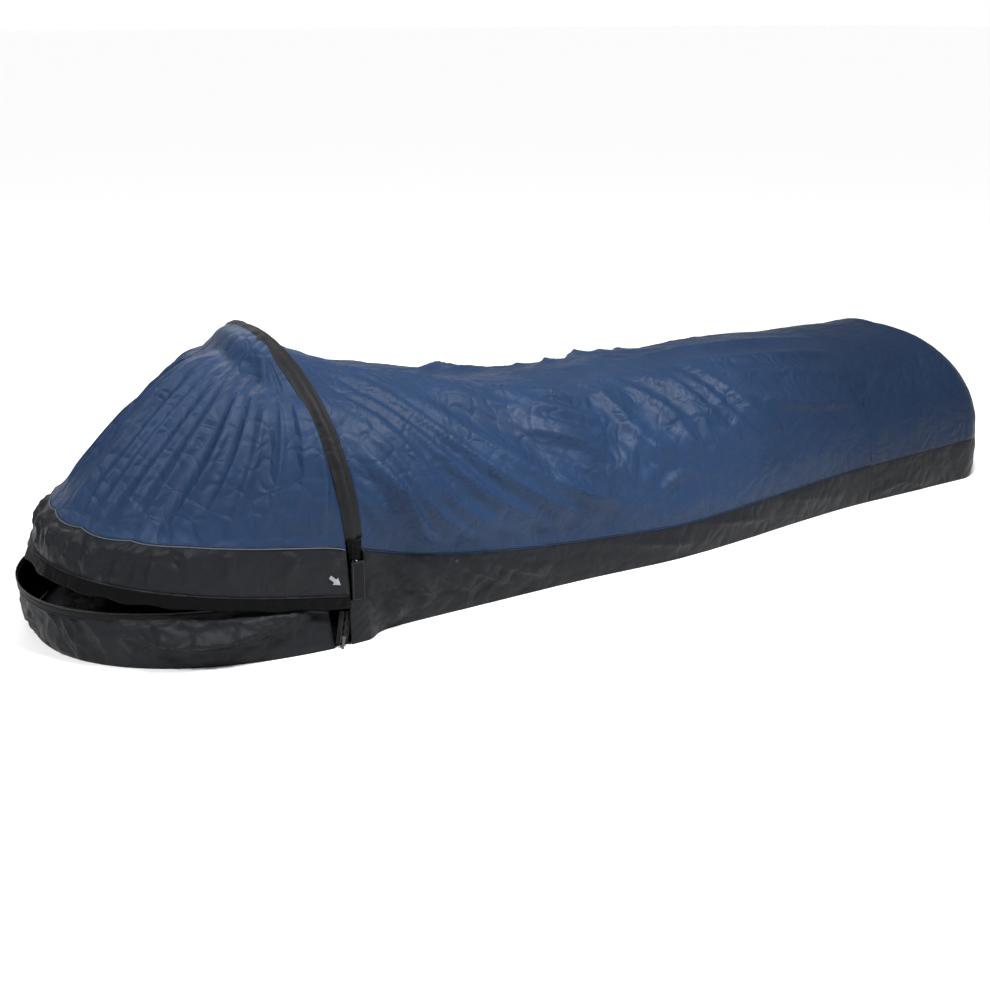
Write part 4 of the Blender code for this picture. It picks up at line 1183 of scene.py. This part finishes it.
# ---------------------------------------------------------------- tabs, arrow, straps, net
def rounded_patch(name, size, bevel, centre, material, cuts=3):
    """A flat patch: a cube scaled to size, its upright edges rounded, then softened all round."""
    deselect_all()
    bpy.ops.mesh.primitive_cube_add(size=1, location=centre)
    obj = bpy.context.object
    obj.name = obj.data.name = name
    obj.scale = size
    bpy.ops.object.transform_apply(location=True, rotation=True, scale=True)
    soften = obj.modifiers.new("round", "BEVEL")
    soften.width = bevel
    soften.segments = cuts
    soften.limit_method = "ANGLE"
    bpy.ops.object.modifier_apply(modifier=soften.name)
    bpy.ops.object.shade_smooth_by_angle(angle=math.radians(50))
    obj.data.materials.clear()
    obj.data.materials.append(material)
    return obj


def stitch_shape():
    """One stitch: a small low arch of thread."""
    sides = 5
    rings = [(-1.0, 0.35, -0.6), (-0.6, 0.9, 0.25), (0.0, 1.0, 0.5), (0.6, 0.9, 0.25), (1.0, 0.35, -0.6)]
    spots = [(r * math.cos(2 * math.pi * k / sides), x, z + r * math.sin(2 * math.pi * k / sides))
             for x, r, z in rings for k in range(sides)]
    faces = [tuple(range(sides))[::-1], tuple(range(4 * sides, 5 * sides))]
    for ring in range(4):
        for k in range(sides):
            a, b = ring * sides + k, ring * sides + (k + 1) % sides
            faces.append((a, b, b + sides, a + sides))
    return np.array(spots), faces


def stitch_row(name, line, outs, body, material, pitch=None):
    """A row of stitches along a line; outs are the outward directions along it."""
    pitch = pitch or look().stitch_pitch
    centres, along = even_points(line, pitch)
    share = np.linspace(0, 1, len(centres)) * (len(outs) - 1)
    out = unit(np.stack([np.interp(share, np.arange(len(outs)), outs[:, i]) for i in range(3)], -1))
    across = unit(np.cross(out, along))
    size = (0.00028, pitch * 0.40, 0.00028)
    spots, faces = stitch_shape()
    return row_of(name, centres, along, across, out, size, (spots, faces), body, [], material)


def make_tabs():
    for name, side in (("right", -1), ("left", 1)):
        low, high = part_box(f"pole_tab_{name}")
        centre, size = (low + high) / 2, high - low
        body = f"pole_tab_body_{name}"
        tab = rounded_patch(f"tab_patch_{name}", (size.x, size.y, size.z), 0.0007, centre,
                            finish("trim_black"))
        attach(tab, body)
        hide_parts(f"pole_tab_{name}")
        y = (low.y if side < 0 else high.y) + side * 0.0001
        inset = 0.0028
        x0, x1, z0, z1 = low.x + inset, high.x - inset, low.z + inset, high.z - inset
        corners = [(x0, z0), (x1, z0), (x1, z1), (x0, z1), (x0, z0)]
        sides = zip(corners, corners[1:])
        line = np.vstack([np.linspace((a[0], y, a[1]), (b[0], y, b[1]), 12) for a, b in sides])
        outs = np.tile([0.0, float(side), 0.0], (len(line), 1))
        stitch_row(f"tab_stitches_{name}", line, outs, body, finish("thread"), 0.0026)


def make_straps():
    for number in (1, 2):
        low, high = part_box(f"pad_strap_{number}")

        def surface(u, v, low=low, high=high):
            return np.stack([mix(low.x, high.x, u), mix(low.y, high.y, v), np.full_like(u, high.z)], -1)

        size = (high.x - low.x, high.y - low.y)
        strap = lay_sheet(f"strap_webbing_{number}", surface, (8, 120), size, None,
                          high.z - low.z, finish("trim_black"))
        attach(strap, "bag")
        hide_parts(f"pad_strap_{number}")


def ring_at(centre, across, out, radius, turn):
    return centre + across * (radius * np.cos(turn))[..., None] + out * (radius * np.sin(turn))[..., None]


def make_net_roll():
    """The insect net, rolled and tied: a soft, lumpy roll, waisted at its two ties and closed at its tapered
    ends.
    """
    low_run, high_run = ARCH_LENGTH / 2 - 0.295, ARCH_LENGTH / 2 + 0.295
    ties = (ARCH_LENGTH / 2 - 0.16, ARCH_LENGTH / 2 + 0.16)

    def surface(u, v):
        run = mix(low_run, high_run, u)
        point, across, out = arch_frame(run)
        centre = point - out * 0.026 - np.array([0.016, 0, 0])
        turn = 2 * math.pi * v
        waist = sum(0.28 * np.exp(-((run - tie) / 0.018) ** 2) for tie in ties)
        ends = np.sqrt(np.clip(np.minimum(u, 1 - u) / 0.012, 0.02, 1))
        radius = 0.0112 * (1 - waist) * ends
        lumps = 0.07 * cloud(u * 26, np.sin(turn) * 1.5, 131) + 0.05 * np.cos(turn * 3 + u * 9)
        return ring_at(centre, across, out, radius * (1 + lumps), turn)

    roll = closed_tube("net_bundle", surface, (150, 28), finish("net_black"))
    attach(roll, "hood")
    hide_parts("net_roll")
    for number, run in enumerate(ties, 1):
        def band(u, v, run=run):
            spots = run + (u - 0.5) * 0.008
            point, across, out = arch_frame(spots)
            centre = point - out * 0.026 - np.array([0.016, 0, 0])
            turn = 2 * math.pi * v
            radius = 0.0095 + 0.0005 * np.sin(turn * 4)
            return ring_at(centre, across, out, radius, turn)
        tie = lay_sheet(f"net_strap_{number}", band, (6, 48), (0.008, 0.06), None, 0.0010,
                        finish("trim_black"))
        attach(tie, "hood")
        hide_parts(f"net_tie_{number}")


def closed_tube(name, surface, steps, material):
    """A tube surface with its two ends drawn shut."""
    deselect_all()
    bpy.ops.mesh.primitive_grid_add(x_subdivisions=steps[0], y_subdivisions=steps[1], size=2)
    obj = bpy.context.object
    obj.name = obj.data.name = name
    flat = np.zeros(len(obj.data.vertices) * 3)
    obj.data.vertices.foreach_get("co", flat)
    u, v = (flat.reshape(-1, 3)[:, :2].T + 1) / 2
    obj.data.vertices.foreach_set("co", surface(u, v).ravel())
    obj.data.update()
    bpy.ops.object.mode_set(mode="EDIT")
    bpy.ops.mesh.select_all(action="SELECT")
    bpy.ops.mesh.remove_doubles(threshold=0.00002)
    bpy.ops.mesh.select_all(action="DESELECT")
    bpy.ops.mesh.select_non_manifold()
    bpy.ops.mesh.edge_face_add()
    bpy.ops.mesh.select_all(action="SELECT")
    bpy.ops.mesh.normals_make_consistent(inside=False)
    bpy.ops.object.mode_set(mode="OBJECT")
    bpy.ops.object.shade_smooth_by_angle(angle=math.radians(60))
    obj.data.materials.clear()
    obj.data.materials.append(material)
    return obj


# ---------------------------------------------------------------- seams
def make_seam_stitching():
    """Rows of stitches beside the long seams, and piping on the side seams."""
    charcoal, blue = finish("shell_charcoal"), finish("shell_blue")
    for name, share in (("right", 0.0), ("left", 1.0)):
        station = np.linspace(TOP_START + 0.012, TOE_SEAM, 260)
        line = top_at(station, np.full_like(station, share))
        inner = top_at(station, np.full_like(station, abs(share - 0.004)))
        out = unit(line * np.array([0.0, 1.0, 0.0]))
        welt = tube_piece(f"side_welt_{name}", line + out * 0.0002, 0.0009, blue, 1)
        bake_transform(welt)
        row = stitch_row(f"side_stitches_{name}", inner + out * 0.0002, out, "bag",
                         finish("thread"))
        row.parent = None
        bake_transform(row)
    angle = np.linspace(0.02, math.pi - 0.02, 300)
    line = hood_point(angle, hood_seam_height(angle) + 0.003, -0.0004)
    out = outward(line, unit(np.cross(np.gradient(line, axis=0), np.array([0.0, 0.0, 1.0]))))
    stitch_row("canopy_stitches", line, out, "hood", finish("thread"))
    stitch_row("band_stitches", along_hem(300, 0.004, -0.0006), out, "hood", charcoal)


def make_toe_darts():
    """The sewn dart that turns each side of the toe box in."""
    for name, side in (("right", 0), ("left", 1)):
        share = np.linspace(0.012, 0.30, 40)
        share = share if side == 0 else 1 - share
        line = top_at(np.full_like(share, TOE_SEAM), share)
        out = unit(line - np.array([TOE_SEAM - LENGTH / 2, 0.0, 0.10]))
        dart = tube_piece(f"toe_dart_{name}", line + out * 0.0004, 0.0012, finish("shell_blue"), 1)
        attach(dart, "bag")


# ---------------------------------------------------------------- hard parts
def finish_hard_parts():
    """Better finishes for the fittings that keep their own shape."""
    kept = {
        "pole_alloy": ["pole_section_1", "pole_section_2", "pole_section_3", "pole_section_4"],
        "ferrule_alloy": ["pole_ferrule_1", "pole_ferrule_2", "pole_ferrule_3"],
        "moulded_black": ["pole_tip_right", "pole_tip_left", "pole_cup_right", "pole_cup_left",
                          "zip_stop_right", "zip_stop_left", "strap_keeper_1", "strap_keeper_2"],
        "slider_metal": ["zip_slider_right", "zip_slider_left", "zip_pull_right", "zip_pull_left"],
        "arrow_white": ["exit_arrow"],
        "cord_grey": ["shock_cord"],
    }
    for name, nodes in kept.items():
        for node in nodes:
            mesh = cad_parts[node].data
            mesh.materials.clear()
            mesh.materials.append(finish(name))


# ---------------------------------------------------------------- stage
SUN_FROM = (-0.9, -0.40, 1.8)
CAMERA_PLACE = (-1.4536, -2.2521, 1.0368)
CAMERA_AIM = (-0.114, 0.0, 0.0845)
CAMERA_LENS = 48.36


def point_at(obj, spot, aim):
    """Stand a lamp or the camera at a spot, looking at its aim."""
    obj.location = spot
    obj.rotation_euler = (Vector(aim) - Vector(spot)).to_track_quat("-Z", "Y").to_euler()


def make_stage():
    scene = bpy.context.scene
    deselect_all()
    bpy.ops.mesh.primitive_plane_add(size=160, location=(0, 0, -0.0005))
    floor = bpy.context.object
    floor.name = "stage_floor"
    material, _, shader = new_material("stage_pale")
    shader.inputs["Base Color"].default_value = (0.93, 0.93, 0.93, 1)
    shader.inputs["Roughness"].default_value = 0.9
    shader.inputs["Specular IOR Level"].default_value = 0.0
    floor.data.materials.append(material)
    world = bpy.data.worlds.new("studio")
    world.use_nodes = True
    sky = world.node_tree
    height = add_node(sky, "ShaderNodeSeparateXYZ",
                      {"Vector": add_node(sky, "ShaderNodeTexCoord").outputs["Generated"]})
    glow = add_node(sky, "ShaderNodeMapRange", {"Value": height.outputs["Z"], "From Min": 0.01,
                                                "From Max": 0.10, "To Min": 1.0, "To Max": 0.30})
    sky.nodes["Background"].inputs["Color"].default_value = (1, 1, 1, 1)
    sky.links.new(glow.outputs[0], sky.nodes["Background"].inputs["Strength"])
    scene.world = world
    sun = bpy.data.lights.new("light_sun", "SUN")
    sun.energy = 2.65
    sun.angle = math.radians(10)
    lamp = bpy.data.objects.new("light_sun", sun)
    scene.collection.objects.link(lamp)
    point_at(lamp, SUN_FROM, (0, 0, 0))
    lights = (
        ("key", (0.0, -1.0, 2.1), (-0.2, -0.1, 0.3), 0.8, 70),
        ("rim", (-0.5, 2.2, 1.9), (-0.3, 0.0, 0.2), 1.6, 25),
    )
    for name, spot, aim, size, power in lights:
        data = bpy.data.lights.new(f"light_{name}", "AREA")
        data.shape = "DISK"
        data.size = size
        data.energy = power
        lamp = bpy.data.objects.new(f"light_{name}", data)
        scene.collection.objects.link(lamp)
        point_at(lamp, spot, aim)
    data = bpy.data.cameras.new("camera")
    data.lens = CAMERA_LENS
    data.sensor_width = 36.0
    camera = bpy.data.objects.new("camera", data)
    scene.collection.objects.link(camera)
    point_at(camera, CAMERA_PLACE, CAMERA_AIM)
    scene.camera = camera
    scene.view_settings.view_transform = "Standard"


# ---------------------------------------------------------------- operators
class SACK_OT_stage(bpy.types.Operator):
    """Floor, lights and camera"""
    bl_idname = "sack.stage"
    bl_label = "Stage"
    bl_options = {"REGISTER", "UNDO"}

    def execute(self, context):
        make_stage()
        return {"FINISHED"}


class SACK_OT_top_panel(bpy.types.Operator):
    """Blue top from the hoop round to the foot"""
    bl_idname = "sack.top_panel"
    bl_label = "Top panel"
    bl_options = {"REGISTER", "UNDO"}

    def execute(self, context):
        make_top_panel()
        return {"FINISHED"}


class SACK_OT_toe_darts(bpy.types.Operator):
    """Sewn darts that shape the toe"""
    bl_idname = "sack.toe_darts"
    bl_label = "Toe darts"
    bl_options = {"REGISTER", "UNDO"}

    def execute(self, context):
        make_toe_darts()
        return {"FINISHED"}


class SACK_OT_side_walls(bpy.types.Operator):
    """Dark walls along both sides"""
    bl_idname = "sack.side_walls"
    bl_label = "Side walls"
    bl_options = {"REGISTER", "UNDO"}

    def execute(self, context):
        make_side_walls()
        return {"FINISHED"}


class SACK_OT_foot_wall(bpy.types.Operator):
    """Dark wall round the foot"""
    bl_idname = "sack.foot_wall"
    bl_label = "Foot wall"
    bl_options = {"REGISTER", "UNDO"}

    def execute(self, context):
        make_foot_wall()
        return {"FINISHED"}


class SACK_OT_head_lip(bpy.types.Operator):
    """Slack dark wall round the head"""
    bl_idname = "sack.head_lip"
    bl_label = "Head lip"
    bl_options = {"REGISTER", "UNDO"}

    def execute(self, context):
        make_head_lip()
        return {"FINISHED"}


class SACK_OT_gussets(bpy.types.Operator):
    """Panels outside the feet of the pole"""
    bl_idname = "sack.gussets"
    bl_label = "Gussets"
    bl_options = {"REGISTER", "UNDO"}

    def execute(self, context):
        make_gussets()
        return {"FINISHED"}


class SACK_OT_floor_cloth(bpy.types.Operator):
    """Sheet under the sleeper"""
    bl_idname = "sack.floor_cloth"
    bl_label = "Floor cloth"
    bl_options = {"REGISTER", "UNDO"}

    def execute(self, context):
        make_floor_cloth()
        return {"FINISHED"}


class SACK_OT_canopy(bpy.types.Operator):
    """Blue front of the hood with its puckers"""
    bl_idname = "sack.canopy"
    bl_label = "Hood canopy"
    bl_options = {"REGISTER", "UNDO"}

    def execute(self, context):
        make_canopy()
        return {"FINISHED"}


class SACK_OT_band(bpy.types.Operator):
    """Dark band, its hem and the welt above it"""
    bl_idname = "sack.band"
    bl_label = "Hood band"
    bl_options = {"REGISTER", "UNDO"}

    def execute(self, context):
        make_band()
        make_hood_piping()
        return {"FINISHED"}


class SACK_OT_storm_flap(bpy.types.Operator):
    """Strip over the zipper"""
    bl_idname = "sack.storm_flap"
    bl_label = "Storm flap"
    bl_options = {"REGISTER", "UNDO"}

    def execute(self, context):
        make_storm_flap()
        return {"FINISHED"}


class SACK_OT_sleeve(bpy.types.Operator):
    """Sleeve and its gathered ends"""
    bl_idname = "sack.sleeve"
    bl_label = "Pole sleeve"
    bl_options = {"REGISTER", "UNDO"}

    def execute(self, context):
        make_sleeve()
        make_cuffs()
        return {"FINISHED"}


class SACK_OT_zipper(bpy.types.Operator):
    """Tapes and coils"""
    bl_idname = "sack.zipper"
    bl_label = "Zipper"
    bl_options = {"REGISTER", "UNDO"}

    def execute(self, context):
        make_rim_zipper()
        make_risers()
        return {"FINISHED"}


class SACK_OT_tabs(bpy.types.Operator):
    """Closing tabs over the sleeve ends"""
    bl_idname = "sack.tabs"
    bl_label = "Tabs"
    bl_options = {"REGISTER", "UNDO"}

    def execute(self, context):
        make_tabs()
        return {"FINISHED"}


class SACK_OT_straps(bpy.types.Operator):
    """Webbing across the floor"""
    bl_idname = "sack.straps"
    bl_label = "Pad straps"
    bl_options = {"REGISTER", "UNDO"}

    def execute(self, context):
        make_straps()
        return {"FINISHED"}


class SACK_OT_net_roll(bpy.types.Operator):
    """Rolled net and its ties"""
    bl_idname = "sack.net_roll"
    bl_label = "Net roll"
    bl_options = {"REGISTER", "UNDO"}

    def execute(self, context):
        make_net_roll()
        return {"FINISHED"}


class SACK_OT_stitching(bpy.types.Operator):
    """Seam rows and piping"""
    bl_idname = "sack.stitching"
    bl_label = "Stitching"
    bl_options = {"REGISTER", "UNDO"}

    def execute(self, context):
        make_seam_stitching()
        return {"FINISHED"}


class SACK_OT_hard_parts(bpy.types.Operator):
    """Finishes of the pole and fittings"""
    bl_idname = "sack.hard_parts"
    bl_label = "Hard parts"
    bl_options = {"REGISTER", "UNDO"}

    def execute(self, context):
        finish_hard_parts()
        return {"FINISHED"}


OPERATORS = [
    SACK_OT_stage,
    SACK_OT_top_panel,
    SACK_OT_toe_darts,
    SACK_OT_side_walls,
    SACK_OT_foot_wall,
    SACK_OT_head_lip,
    SACK_OT_gussets,
    SACK_OT_floor_cloth,
    SACK_OT_canopy,
    SACK_OT_band,
    SACK_OT_storm_flap,
    SACK_OT_sleeve,
    SACK_OT_zipper,
    SACK_OT_tabs,
    SACK_OT_straps,
    SACK_OT_net_roll,
    SACK_OT_stitching,
    SACK_OT_hard_parts,
]


class SACK_PT_parts(bpy.types.Panel):
    """Lists the sack's pieces in the order they are made"""
    bl_label = "Bivy sack"
    bl_idname = "SACK_PT_parts"
    bl_space_type = "VIEW_3D"
    bl_region_type = "UI"
    bl_category = "Bivy sack"

    def draw(self, context):
        for prop in SackLook.__annotations__:
            self.layout.prop(context.scene.sack_look, prop)
        for operator in OPERATORS:
            self.layout.operator(operator.bl_idname)


CLASSES = [SackLook, *OPERATORS, SACK_PT_parts]


def register():
    for each in CLASSES:
        bpy.utils.register_class(each)
    bpy.types.Scene.sack_look = bpy.props.PointerProperty(type=SackLook)


def unregister():
    del bpy.types.Scene.sack_look
    for each in reversed(CLASSES):
        bpy.utils.unregister_class(each)


def main():
    register()
    for operator in OPERATORS:
        group, name = operator.bl_idname.split(".")
        getattr(getattr(bpy.ops, group), name)()


if __name__ == "__main__":
    main()
